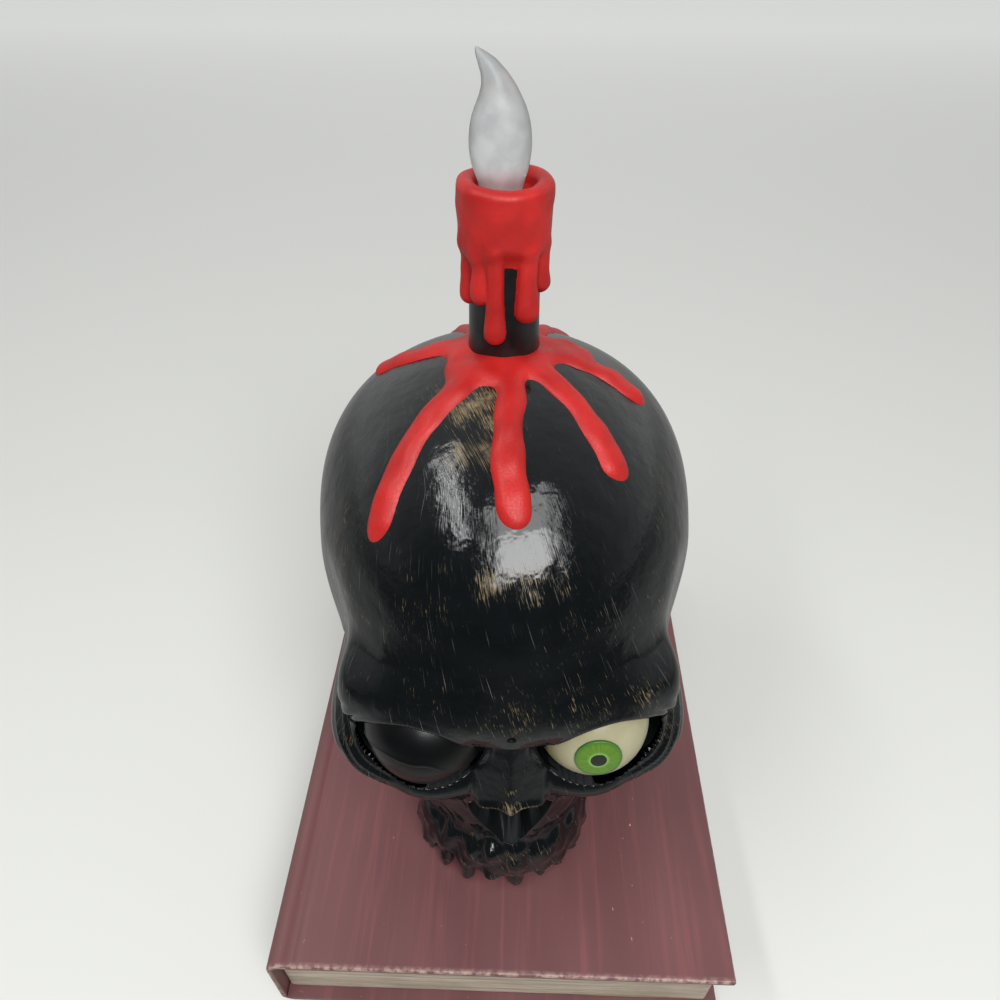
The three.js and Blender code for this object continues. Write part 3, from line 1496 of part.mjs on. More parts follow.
add(head, "face_shell", faceShell(), black_shell);
add(head, "cranium_rear_shell", rearShell(), black_shell);
shellScrewPlaces(shell_screw_seat + seat_gap + screw_head_height).forEach((place, i) => {
  const reach_in = place[1] - seam_y + screw_grip - seat_gap;
  add(head, "shell_screw_" + (i + 1), screw(place, forward, reach_in), steel);
});
neck_places.forEach(([x, y], i) => {
  const low = board_underside - book_top - seat_gap - screw_head_height;
  add(head, "neck_screw_" + (i + 1), screw([x, y, low], up, screw_grip - low), steel);
});
add(head, "eye_frame", eyeFrame(), grey_plastic);
frame_places.forEach(([side, [x, z]], i) => {
  const back = plate_back + seat_gap + screw_head_height;
  const reach_in = back - plate_front + screw_grip;
  add(head, "frame_screw_" + (i + 1), screw([side * x, back, z], forward, reach_in), steel);
});
for (const [side, word] of [[-1, "left"], [1, "right"]]) {
  add(head, "eyeball_" + word, eyeball(side), eye_white);
  add(head, "iris_" + word, iris(side), eye_green);
  add(head, "pupil_" + word, pupil(side), eye_black);
  add(head, "eye_pin_" + word, eyePin(side), steel);
}
add(head, "eyelid", eyelid(), black_shell);
add(head, "lid_crank", lidCrank(), white_plastic);
add(head, "lid_plunger", lidPlunger(), steel);
add(head, "lid_coil", lidCoil(), grey_plastic);
add(head, "link_bar", linkBar(), white_plastic);
add(head, "drive_lever", driveLever(), white_plastic);
add(head, "gearbox", gearbox(), white_plastic);
add(head, "drive_motor", driveMotor(), steel);
[-1, 1].forEach((side, i) => {
  const back = plate_back + seat_gap + screw_head_height;
  const place = [side * gearbox_screw_x, back, motor_z];
  const reach_in = back - gearbox_back + screw_grip - seat_gap;
  add(head, "gearbox_screw_" + (i + 1), screw(place, forward, reach_in), steel);
});
add(head, "forehead_sensor", sensor(), dark_rubber);
add(head, "candle_post", candlePost(), black_shell);
add(head, "candle_nut", candleNut(), grey_plastic);
add(head, "wax_splash", waxSplash(), red_wax);
add(head, "wax_cup", waxCup(), red_wax);
add(head, "flame", flame(), frosted);
add(head, "flame_light", flameLight(), frosted);

export default ornament;
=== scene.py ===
"""A black skull ornament with a green eye, a shut lid and a dripping candle, on a moulded book.

Every shape is a function of two parameters on a numpy grid, in millimetres, and is laid into a mesh
in metres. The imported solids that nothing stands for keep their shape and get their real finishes.
"""

import bpy
import numpy as np
from mathutils import Matrix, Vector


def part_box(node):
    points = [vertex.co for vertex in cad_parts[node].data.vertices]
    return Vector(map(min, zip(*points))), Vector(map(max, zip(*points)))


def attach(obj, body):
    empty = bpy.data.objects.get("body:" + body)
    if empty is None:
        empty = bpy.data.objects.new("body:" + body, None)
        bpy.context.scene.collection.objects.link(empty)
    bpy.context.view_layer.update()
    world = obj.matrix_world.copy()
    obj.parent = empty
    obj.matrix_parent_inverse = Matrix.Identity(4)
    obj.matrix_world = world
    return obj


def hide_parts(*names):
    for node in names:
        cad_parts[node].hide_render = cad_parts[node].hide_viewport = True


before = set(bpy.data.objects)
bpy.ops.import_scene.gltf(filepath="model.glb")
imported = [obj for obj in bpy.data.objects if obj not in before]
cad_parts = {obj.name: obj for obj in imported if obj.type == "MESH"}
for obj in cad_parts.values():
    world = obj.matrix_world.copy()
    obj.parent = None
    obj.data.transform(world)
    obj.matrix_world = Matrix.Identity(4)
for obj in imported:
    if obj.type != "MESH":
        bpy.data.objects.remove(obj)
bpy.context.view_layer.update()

MM = 0.001
FINE = 1.0
SIDES = ((1, "right"), (-1, "left"))  # as the photo shows them


def node_box(name):
    """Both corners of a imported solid, in millimetres."""
    low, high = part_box(name)
    return np.array(low) / MM, np.array(high) / MM


def count(full):
    return int(round(full * FINE))


# Head, in its own frame: origin on the book's top below the candle, the face looks along -Y.
BOOK_LOW, BOOK_HIGH = node_box("book_upper_shell")
BOOK_TOP = BOOK_HIGH[2]
HEAD_AT = np.array([-2.2, 23.0, BOOK_TOP])
HEAD_TURN = np.radians(3.1)
HALF_SKULL, SKULL_HEIGHT = 73.0, 192.0
SKULL_SIZE = np.array([HALF_SKULL, 183.0, SKULL_HEIGHT])
SKULL_MIDDLE_Z = 80.0
SEAM_Y = 8.0
SEAM_GAP = 0.3
PAINTED_GAP = 0.06  # what the paint leaves of the joint between the shells
WALL = 2.8

# Eyes
EYE_X, EYE_Y, EYE_Z = 29.7, -84.0, 88.0
EYE_AT = np.array([EYE_X, EYE_Y, EYE_Z])
EYE_RADIUS = 20.5
IRIS_RADIUS = 8.1
PUPIL_RADIUS = 2.8
GAZE_UP = np.radians(11)
DISC_FALL = 0.8  # how far the iris falls from its middle to its edge
LID_RADIUS = 22.6
LID_WALL = 1.6
LID_ROOM = 23.1  # radius kept clear for the lid's turn
LID_LOW = np.radians(-36)
LID_HIGH = np.radians(96)

# Candle
POST_RADIUS = 12.3
POST_TAPER = 0.7
POST_SKIN = 186.0  # where the post comes out of the wax on the crown
POST_TOP = 236.0
CUP_RADIUS = 15.3
CUP_BOTTOM = 226.5
CUP_TOP = 249.5
CUP_LIP = 5.0
FLAME_LOW = 243.0
FLAME_TOP = 283.8

# Book
COVER = 2.5
BOARD_EDGE = 0.9  # how far the edges of the boards are rounded
SPINE_ROUND = 6.0
PAGE_INSET = 4.5
PAGE_WALL = 3.0
LINE_PITCH = 5.4
LINE_DEPTH = 0.5


# Meshes
def points_of(*coordinates):
    """Points from their coordinates, or faces from their corners, spread over one grid."""
    return np.stack(np.broadcast_arrays(*coordinates), -1)


def circle(radius, turn, z):
    """Points about the vertical axis, at these turns, distances and heights."""
    return points_of(radius * np.cos(turn), radius * np.sin(turn), z)


def turns(steps):
    """Equal steps round a full circle, in radians."""
    return np.linspace(0, 2 * np.pi, steps, endpoint=False)


def to_world(p):
    """Head frame to the object's frame: a turn about the vertical, then the head's place."""
    c, s = np.cos(HEAD_TURN), np.sin(HEAD_TURN)
    x, y, z = np.moveaxis(p, -1, 0)
    return points_of(c * x - s * y, s * x + c * y, z) + HEAD_AT


def lay_mesh(name, points, faces, attributes=None):
    """A mesh from points in millimetres and lists of faces of one length each, turned outwards.

    The sum of each face's corner times its area vector is six times the volume inside, so its sign
    tells whether the faces point out; where it is negative, every face is reversed.
    """
    volume = 0.0
    middle = points.mean(0)
    for group in faces:
        a, b, c = (points[group[:, k]] - middle for k in (0, 1, 2))
        volume += np.einsum("ij,ij->", a, np.cross(b, c))
        if group.shape[1] == 4:
            d = points[group[:, 3]] - middle
            volume += np.einsum("ij,ij->", a, np.cross(c, d))
    if volume < 0:
        faces = [group[:, ::-1] for group in faces]
    mesh = bpy.data.meshes.new(name)
    mesh.vertices.add(len(points))
    mesh.vertices.foreach_set("co", (points * MM).astype(np.float32).ravel())
    corners = np.concatenate([group.ravel() for group in faces]).astype(np.int32)
    sides = np.concatenate([np.full(len(group), group.shape[1]) for group in faces])
    starts = np.concatenate([[0], np.cumsum(sides)[:-1]])
    mesh.loops.add(len(corners))
    mesh.loops.foreach_set("vertex_index", corners)
    mesh.polygons.add(len(sides))
    mesh.polygons.foreach_set("loop_start", starts.astype(np.int32))
    mesh.polygons.foreach_set("use_smooth", np.full(len(sides), True))
    mesh.update(calc_edges=True)
    for key, values in (attributes or {}).items():
        kind, field = ("FLOAT_VECTOR", "vector") if values.ndim == 2 else ("FLOAT", "value")
        layer = mesh.attributes.new(key, kind, "POINT")
        layer.data.foreach_set(field, values.astype(np.float32).ravel())
    mesh.validate()
    piece = bpy.data.objects.new(name, mesh)
    bpy.context.scene.collection.objects.link(piece)
    return piece


def grid_faces(rows, columns, around=True, loop=False, keep=None):
    """Quads between neighbouring rows and columns.

    around joins the last column to the first, and loop the last row. Where keep is given, a quad
    stays if keep is true at one of its corners.
    """
    r = np.arange(rows if loop else rows - 1)
    c = np.arange(columns if around else columns - 1)
    r, c = np.meshgrid(r, c, indexing="ij")
    r2, c2 = (r + 1) % rows, (c + 1) % columns
    quads = points_of(r * columns + c, r * columns + c2, r2 * columns + c2, r2 * columns + c)
    quads = quads.reshape(-1, 4)
    return quads if keep is None else quads[keep.ravel()[quads].any(1)]


def ring_piece(name, rings, attributes=None, start=True, end=True, quads=None):
    """Rings of points joined in order, each wanted end closed by a fan to its ring's middle."""
    rows, columns = rings.shape[:2]
    points = rings.reshape(-1, 3)
    extra = {k: [v.reshape(rows * columns, -1)] for k, v in (attributes or {}).items()}
    c = np.arange(columns)
    fans = []
    for wanted, row in ((start, 0), (end, rows - 1)):
        if not wanted:
            continue
        first, second = row * columns + c, row * columns + (c + 1) % columns
        sides = [second, first] if row == 0 else [first, second]
        fans.append(points_of(*sides, len(points)))
        points = np.vstack([points, rings[row].mean(0)])
        for parts in extra.values():
            parts.append(parts[0][first].mean(0, keepdims=True))
    faces = [grid_faces(rows, columns) if quads is None else quads]
    if fans:
        faces.append(np.vstack(fans))
    extra = {k: np.vstack(v) for k, v in extra.items()}
    extra = {k: v[:, 0] if v.shape[1] == 1 else v for k, v in extra.items()}
    return lay_mesh(name, points, faces, extra)


def dress(piece, material, body, slot, *nodes):
    """The piece gets its material, rides its body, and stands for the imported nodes."""
    piece.data.materials.append(material)
    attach(piece, body)
    if nodes:
        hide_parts(*nodes)
    return piece


# Fields
def melt(a, b, width):
    """The lesser of two distances, rounded over width where they meet."""
    share = np.clip(0.5 + 0.5 * (b - a) / width, 0, 1)
    return b + (a - b) * share - width * share * (1 - share)


def step(x, low, high):
    """0 below low, 1 above high, and a smooth climb between."""
    t = np.clip((x - low) / (high - low), 0, 1)
    return t * t * (3 - 2 * t)


def bell(x, middle, width):
    """1 at the middle, falling softly to 0 on both sides."""
    return np.exp(-(((x - middle) / width) ** 2))


def mass(p, at, half):
    """Near distance to an ellipsoid: level times level less one, over the slope.

    Away from the middle it stands for a pair, one on each side.
    """
    x, y, z = np.moveaxis(p, -1, 0)
    q = points_of(np.abs(x) - at[0] if at[0] else x, y - at[1], z - at[2])
    level = np.sqrt(((q / half) ** 2).sum(-1))
    slope = np.sqrt(((q / half ** 2) ** 2).sum(-1)) + 1e-9
    return level * (level - 1) / slope


def capsule(p, a, b, ra, rb):
    """Distance to a round bar from a to b whose radius goes from ra to rb."""
    a, b = np.array(a, float), np.array(b, float)
    along = b - a
    t = np.clip(((p - a) @ along) / (along @ along), 0, 1)
    gap = p - a - t[..., None] * along
    return np.sqrt((gap ** 2).sum(-1)) - ra - (rb - ra) * t


def lumps(p, pitch):
    """Soft unevenness between about -1 and 1: six sine waves across each other."""
    ways = np.array([[1, 0.3, 0.2], [-0.4, 1, 0.5], [0.2, -0.6, 1], [0.8, 0.7, -0.5],
                     [-0.7, 0.5, 0.9], [0.5, -0.9, -0.6]])
    waves = np.sin(p @ ways.T * (2 * np.pi / pitch) + np.arange(6) * 1.7)
    return waves.sum(-1) / 3


# The skull's masses: place and half size as shares of its size; the melt is a share of its height.
MASSES = [
    ((0, -0.06, 0.583), (1, 0.481, 0.417), 0),
    ((0.33, 0.044, 0.667), (0.6, 0.262, 0.232), 0.09),
    ((0, 0.077, 0.271), (0.685, 0.306, 0.302), 0.125),
    ((0.38, -0.448, 0.536), (0.33, 0.082, 0.047), 0.06),
    ((0.712, -0.393, 0.479), (0.11, 0.071, 0.104), 0.062),
    ((0.74, -0.366, 0.359), (0.178, 0.131, 0.068), 0.062),
    ((0.836, -0.219, 0.354), (0.096, 0.186, 0.047), 0.062),
    ((0.37, -0.415, 0.354), (0.37, 0.153, 0.073), 0.062),
    ((0, -0.383, 0.208), (0.452, 0.18, 0.208), 0.073),
    ((0, -0.404, 0.089), (0.466, 0.18, 0.078), 0.052),
    ((0, -0.497, 0.42), (0.11, 0.068, 0.11), 0.042),
    ((0.603, 0.033, 0.156), (0.164, 0.082, 0.125), 0.073),
]
TEMPLE = ((1.041, -0.361, 0.594), (0.178, 0.131, 0.125), 0.073)


def skull_field(p):
    """Near distance to the plain skull: masses melted together, less a hollow at each temple."""
    parts = [(mass(p, np.array(at) * SKULL_SIZE, np.array(half) * SKULL_SIZE), width * SKULL_HEIGHT)
             for at, half, width in (*MASSES, TEMPLE)]
    d = parts[0][0]
    for part, width in parts[1:-1]:
        d = melt(d, part, width)
    hollow, width = parts[-1]
    return -melt(-d, hollow, width)


def closed_spline(points, steps):
    """A closed curve through points: a cubic between each two, steered by their neighbours."""
    points = np.array(points, float)
    before, after = np.roll(points, 1, 0), np.roll(points, -1, 0)
    after_next = np.roll(points, -2, 0)
    t = (np.arange(steps) / steps)[None, :, None]
    a, b, c, d = (q[:, None] for q in (before, points, after, after_next))
    curve = b + 0.5 * t * (c - a + t * (2 * a - 5 * b + 4 * c - d + t * (3 * (b - c) + d - a)))
    return curve.reshape(-1, 2)


class Outline:
    """Signed distance to a closed outline in x and z, tabled on a fine grid and read between."""

    PITCH = 0.25
    MARGIN = 22.0

    def __init__(self, points):
        self.low = points.min(0) - self.MARGIN
        size = np.ceil((points.max(0) + self.MARGIN - self.low) / self.PITCH).astype(int) + 2
        x, z = (self.low[k] + np.arange(size[k]) * self.PITCH for k in (0, 1))
        p = np.stack(np.meshgrid(x, z, indexing="ij"), -1)[:, :, None]
        a, b = points, np.roll(points, -1, 0)
        along = b - a
        t = np.clip(((p - a) * along).sum(-1) / (along ** 2).sum(-1), 0, 1)
        gap = np.sqrt(((p - a - t[..., None] * along) ** 2).sum(-1)).min(-1)
        spans = (a[:, 1] > p[..., 1]) != (b[:, 1] > p[..., 1])
        rise = np.where(along[:, 1] == 0, 1, along[:, 1])
        cross_x = a[:, 0] + (p[..., 1] - a[:, 1]) / rise * along[:, 0]
        inside = (spans & (p[..., 0] < cross_x)).sum(-1) % 2 == 1
        self.table = np.where(inside, -gap, gap)

    def __call__(self, x, z):
        u = np.clip((x - self.low[0]) / self.PITCH, 0, self.table.shape[0] - 1.001)
        v = np.clip((z - self.low[1]) / self.PITCH, 0, self.table.shape[1] - 1.001)
        i, j = u.astype(int), v.astype(int)
        u, v = u - i, v - j
        t = self.table
        low = t[i, j] * (1 - u) + t[i + 1, j] * u
        high = t[i, j + 1] * (1 - u) + t[i + 1, j + 1] * u
        return low * (1 - v) + high * v


SOCKET_HALF = np.array([21.75, 15.0])
SOCKET_AT = np.array([EYE_X + 3.3, EYE_Z + 3.2])
SOCKET_EDGE = np.array([
    (-1, -0.28), (-0.86, 0.3), (-0.42, 0.94), (0.14, 1.02), (0.66, 0.58),
    (1, -0.26), (0.82, -0.88), (0.3, -0.98), (-0.36, -0.94), (-0.82, -0.66),
])
NOSE_LOW, NOSE_TOP, NOSE_HALF = 31.0, 63.0, 15.0
NOSE_EDGE = [(0, 0.97), (0.3, 1), (0.72, 0.9), (1, 0.7), (0.86, 0.46), (0.5, 0.22), (0.24, 0)]
nose_side = [(x * NOSE_HALF, NOSE_LOW + z * (NOSE_TOP - NOSE_LOW)) for x, z in NOSE_EDGE]
socket = Outline(closed_spline(SOCKET_EDGE * SOCKET_HALF + SOCKET_AT, 6))
nose = Outline(closed_spline(nose_side + [(-x, z) for x, z in nose_side[:0:-1]], 4))

# Brow line from the middle outwards, for the side where x is positive: place and radius.
BROW = [
    ((0, -94.2, 105), 1.4), ((13, -93, 108.5), 3.8), ((26, -90.7, 111.5), 2.9),
    ((39, -85.8, 110.5), 2.0), ((48, -80.5, 105), 1.2),
]
BROW_MELT = 24.0
# Tooth arch, an ellipse in plan, and the roots on it: turns, and heights and radii of both ends
ARCH_HALF, ARCH_DEPTH, ARCH_X, ARCH_BACK = 33.2, 27.0, -2.2, -79.0
ROOT_TURNS = np.radians([-84, -66, -47, -27, -9, 9, 27, 43, 61, 80])
ROOT_LOW, ROOT_HIGH, ROOT_RADII = 9, 24, (3.0, 2.2)
CHEEK_BAR = ((-29, -82, 14), (-28, -80, 46), 6.0, 5.0)
GUM = np.array([ARCH_X, -79, 10]), np.array([32, 26, 22])
ROOT_MELT, CHEEK_MELT, GUM_MELT = 5, 10, 6
# Nose bridge: its top, how far it comes out per millimetre down, and the pitch of its sides
BRIDGE_TOP_Z, BRIDGE_TOP_Y, BRIDGE_LEAN, BRIDGE_PITCH = 95.0, -97.0, -0.36, 0.47
BRIDGE_HALF, BRIDGE_HIGH = 15.5, 99
BRIDGE_FOOT, BRIDGE_AHEAD = (58, 62), (84, 90)  # spans of height and of place in front
FACE_AHEAD = (40, 55)  # over this span in front of the candle the details of the face come in
# Rims and dents along an outline: their distance from it and their width, then their height
SOCKET_RIM, RIM_HEIGHT, LOW_RIM_MORE = (1.9, 1.7), 0.35, 0.55
BRIDGE_DENT, DENT_DEPTH = (4.6, 0.9), 0.5
NOSE_RIM, NOSE_RIM_HEIGHT, NOSE_RIM_SPAN = (1.1, 1.3), 0.8, (40, 58)
# Folds beside the sockets: the first crest, from crest to crest, height, and where they lie
FOLD_FIRST, FOLD_PITCH, FOLD_HEIGHT = 2.6, 4.4, 0.8
FOLD_ASIDE, FOLD_TOP, FOLD_LAST = (40, 49), 106, 17
JAW_TOP = 45
JAW_LUMPS, JAW_GRAINS = (0.5, 15), (0.3, 7)  # height and pitch
POCKET_FLOOR = -60.0
POCKET_EDGE = -74.0  # the socket is open behind this
POCKET_ROUND, POCKET_LIP, NOSE_LIP = 1.5, 1.6, 1.2  # how far the cuts' edges are rounded
SOCKET_STEP = 4.0  # a quad of the skin that spans more depth than this in a socket is left out
NOSE_FLOOR = -80.0
NOSE_GROOVE, SIDE_GROOVE = (0, 1.7), (6.6, 1.9)  # deeper in the nose: place aside and width
NOSE_GROOVE_DEPTH, SIDE_GROOVE_DEPTH = 15, 12
SENSOR_Z = 105.0
SENSOR_RADIUS = 1.1
SENSOR_FLOOR = -97.0


def on_arch(turn, inset=(0, 0)):
    """A point of the tooth arch in plan, drawn in by the inset, and its way out from the middle."""
    out = np.array([np.sin(turn), -np.cos(turn)])
    return out * (ARCH_HALF - inset[0], ARCH_DEPTH - inset[1]) + (ARCH_X, ARCH_BACK), out


def eye_room(x, y, z):
    """Distance outside the ball that the lid turns in, round the eye where x is positive."""
    return np.sqrt((x - EYE_X) ** 2 + (y - EYE_Y) ** 2 + (z - EYE_Z) ** 2) - LID_ROOM


def face_field(p):
    """The skull with brow, nose bridge, tooth roots, rims and folds, less sockets, nose and hole.

    Each detail is a distance of its own: bars melt in, and a bell of the distance to an outline
    raises a rim beside it. The nose bridge is a roof of two flat sides; a soft window puts it in
    the place of the rounded form below the brow.
    """
    d = skull_field(p)
    x, y, z = np.abs(p[..., 0]), p[..., 1], p[..., 2]
    one_side = points_of(x, y, z)
    brow = [capsule(one_side, a, b, ra, rb) for (a, ra), (b, rb) in zip(BROW[:-1], BROW[1:])]
    d = melt(d, np.min(brow, 0), BROW_MELT)
    for turn in ROOT_TURNS:
        foot, head = on_arch(turn)[0], on_arch(turn, (4, 1))[0]
        root = capsule(p, (*foot, ROOT_LOW), (*head, ROOT_HIGH), *ROOT_RADII)
        d = melt(d, root, ROOT_MELT)
    d = melt(d, capsule(p, *CHEEK_BAR), CHEEK_MELT)
    d = melt(d, mass(p, *GUM), GUM_MELT)
    # nose bridge
    ridge = BRIDGE_TOP_Y + (BRIDGE_TOP_Z - z) * BRIDGE_LEAN
    roof = (ridge + np.sqrt(x * x + 1) * BRIDGE_PITCH - y) / np.hypot(1, BRIDGE_PITCH)
    within = step(BRIDGE_HALF - x, 0, 4) * step(BRIDGE_HIGH - z, 0, 4.5)
    within = within * step(z, *BRIDGE_FOOT) * step(-y, *BRIDGE_AHEAD)
    d = d + (roof - d) * within
    # rims and folds beside the sockets and the nose
    from_socket, from_nose = socket(x, z), nose(p[..., 0], z)
    front = step(-y, *FACE_AHEAD)
    rim = RIM_HEIGHT + LOW_RIM_MORE * step(EYE_Z + 8 - z, 0, 12)
    d = d - front * bell(from_socket, *SOCKET_RIM) * rim
    d = d + DENT_DEPTH * within * bell(from_socket, *BRIDGE_DENT)
    folded = step(x, *FOLD_ASIDE) * step(FOLD_TOP - z, 0, 10)
    folded = folded * step(from_socket, 2, 4) * step(FOLD_LAST - from_socket, 0, 5)
    fold = 0.5 + 0.5 * np.cos(2 * np.pi * (from_socket - FOLD_FIRST) / FOLD_PITCH)
    d = d - FOLD_HEIGHT * front * folded * fold
    d = d - NOSE_RIM_HEIGHT * front * bell(from_nose, *NOSE_RIM) * step(z, *NOSE_RIM_SPAN)
    # an uneven jaw, in broad and in small lumps
    jaw = step(JAW_TOP - z, 0, 20) * front
    d = d - JAW_LUMPS[0] * jaw * lumps(p, JAW_LUMPS[1])
    d = d - JAW_GRAINS[0] * jaw * lumps(p[..., [1, 2, 0]], JAW_GRAINS[1])
    # what is cut away: the sockets, the nose with its three grooves, the sensor's hole
    pocket = np.maximum(melt(from_socket, eye_room(x, y, z), POCKET_ROUND), y - POCKET_FLOOR)
    d = -melt(-d, pocket, POCKET_LIP)
    floor = NOSE_FLOOR - NOSE_GROOVE_DEPTH * bell(p[..., 0], *NOSE_GROOVE)
    floor = floor - SIDE_GROOVE_DEPTH * bell(x, *SIDE_GROOVE)
    d = -melt(-d, np.maximum(from_nose, y - floor), NOSE_LIP)
    hole = np.maximum(np.hypot(x, z - SENSOR_Z) - SENSOR_RADIUS, y - SENSOR_FLOOR)
    near = y < NOSE_FLOOR  # far inside the skull, the distances stay as they are
    return np.where(near, np.maximum(d, -hole), d)


def walk_in(field, centre, ways, far, rounds, close=0.01):
    """How far from centre along each way the outermost skin lies, walked inwards by distances."""
    reach = np.broadcast_to(np.asarray(far, float), ways.shape[:-1]).copy()
    starts = np.broadcast_to(centre, ways.shape).reshape(-1, 3)
    flat_reach, flat_ways = reach.reshape(-1), ways.reshape(-1, 3)
    open_rays = np.arange(flat_reach.size)
    for _ in range(rounds):
        d = field(starts[open_rays] + flat_ways[open_rays] * flat_reach[open_rays, None])
        flat_reach[open_rays] = np.maximum(flat_reach[open_rays] - 0.75 * d, 0)
        open_rays = open_rays[np.abs(d) > close]
        if not open_rays.size:
            break
    return reach


STROKE_LEAN = 0.22  # the brush was drawn down and a little across
CROWN_LEAN = 0.35
CROWN_MEETS_Y = -58.6  # where both sets of strokes lie on the same lines in front
CROWN_SPAN = (172, 186)  # heights between which the strokes turn from the sides' to the crown's


def stroke_of(p, behind):
    """The brush's own coordinates: across and along the strokes, and the distance from the axis.

    On the sides the strokes run down; on the crown they run towards the face. Between, one turns
    into the other.
    """
    x, y, z = np.moveaxis(p, -1, 0)
    turn = np.arctan2(x, y) if behind else np.arctan2(x, -y)
    crown = step(z, *CROWN_SPAN)
    across = turn * HALF_SKULL + STROKE_LEAN * (z - SKULL_HEIGHT)
    across = across * (1 - crown) + (x + CROWN_LEAN * (y - CROWN_MEETS_Y)) * crown
    return points_of(across, z - 0.6 * np.abs(y) * crown, np.hypot(x, y))


FACE_Y = -60  # in front of this the gold also caught the rims
RUB_RIM, NOSE_RUB_RIM = (1.2, 0.7), (0.8, 0.8)  # distance from the outline, and width
SENSOR_SHADE = 0.5  # how far round the sensor's hole the brush didn't reach
# Where the gold was brushed on: place, reach and strength.
GOLD = [
    ((-17, -26, 188), 9, 1.0), ((-6, -31, 189.5), 9, 1.05), ((-14, -34, 187), 8, 0.95),
    ((-4, -40, 186), 8, 1.0), ((-16, -50, 181), 7, 0.85), ((-6, -50, 182.5), 8, 0.9),
    ((-6, -82, 158), 7, 0.8), ((5, -82, 157.5), 8, 0.75), ((14, -81, 158), 7, 0.6),
    ((-25, -92, 114), 15, 0.35), ((0, -99, 114), 15, 0.45), ((25, -95, 114), 15, 0.42),
    ((-52, -62, 130), 20, 0.35), ((-54, -50, 150), 20, 0.35), ((-62, -30, 140), 18, 0.3),
    ((52, -60, 125), 20, 0.35), ((54, -45, 150), 18, 0.35), ((-30, -84, 140), 20, 0.3),
    ((25, -86, 140), 18, 0.28), ((0, -108, 64), 5.5, 0.95), ((0, -106, 72), 5, 0.6),
    ((0, -107, 20), 24, 0.4), ((42, -88, 109), 9, 0.75), ((-58, -84, 78), 10, 0.45),
    ((58, -84, 78), 10, 0.45), ((0, 85, 110), 40, 0.35), ((-50, 40, 140), 30, 0.35),
    ((50, 40, 140), 30, 0.35),
]


def gold_on(p):
    """How much gold the brush left: bells round the brushed places, and the rims it caught.

    Inside the sockets, the nose and the sensor's hole, and beside the eyes, it is below nought,
    which keeps scratches and shine away too.
    """
    x, y, z = np.abs(p[..., 0]), p[..., 1], p[..., 2]
    rub = np.zeros(p.shape[:-1])
    for at, reach, strength in GOLD:
        near = np.exp(-((p - np.array(at, float)) ** 2).sum(-1) / reach ** 2)
        rub = np.maximum(rub, strength * near)
    from_socket, from_nose = socket(x, z), nose(p[..., 0], z)
    front = y < FACE_Y
    rim = bell(from_socket, *RUB_RIM) * step(80 - z, 0, 5)
    rim = rim * (0.45 + 0.55 * step(-p[..., 0], 5, 20))  # stronger on the left
    rim = np.maximum(rim, bell(from_nose, *NOSE_RUB_RIM) * step(z, 52, 58))
    rub = np.maximum(rub, np.where(front, rim, 0))
    within = np.minimum(from_socket, from_nose)
    hidden = np.max([
        step(1 - within, 0, 0.8),  # in the opening
        step(2.4 - within, 0, 1) * step(-skull_field(p), 0.3, 1.2),  # beside it, below the skin
        step(1.6 - eye_room(x, y, z), 0, 0.8),
        step(SENSOR_RADIUS + SENSOR_SHADE - np.hypot(x, z - SENSOR_Z), 0, 0.4),
    ], 0)
    return np.where(front, rub * (1 - hidden) - hidden, rub)


def half_skull(side, field, polar, spokes):
    """One moulded half: rings of skin points of equal angle off the axis, and what they carry.

    The points lie on rays from the middle of the seam. side is -1 for the face and 1 for the back.
    The last rings turn in along the seam as its wall.
    """
    centre = np.array([0, SEAM_Y if side < 0 else SEAM_Y + PAINTED_GAP, SKULL_MIDDLE_Z])
    a, t = np.meshgrid(polar, turns(spokes), indexing="ij")
    ways = points_of(np.sin(a) * np.cos(t), side * np.cos(a), np.sin(a) * np.sin(t))
    reach = walk_in(skull_field, centre, ways, far=150, rounds=50, close=0.2)
    reach = walk_in(field, centre, ways, far=reach + 9, rounds=90)
    rings = centre + ways * reach[..., None]
    rings[..., 2] = np.maximum(rings[..., 2], SEAM_GAP)
    inward = centre - rings[-1]
    inward /= np.linalg.norm(inward, axis=-1, keepdims=True)
    lip = np.stack([rings[-1] + inward * depth for depth in (0.15, WALL)])
    lip[0, :, 1] = rings[-1, :, 1]
    rings = np.concatenate([rings, lip])
    return rings, {"stroke": stroke_of(rings, side > 0), "rub": gold_on(rings)}


# Materials
def srgb(code):
    """A colour written as sRGB hex, as the linear values that the shader wants."""
    v = np.array([int(code[k:k + 2], 16) for k in (1, 3, 5)]) / 255
    return (*np.where(v <= 0.04045, v / 12.92, ((v + 0.055) / 1.055) ** 2.4), 1)


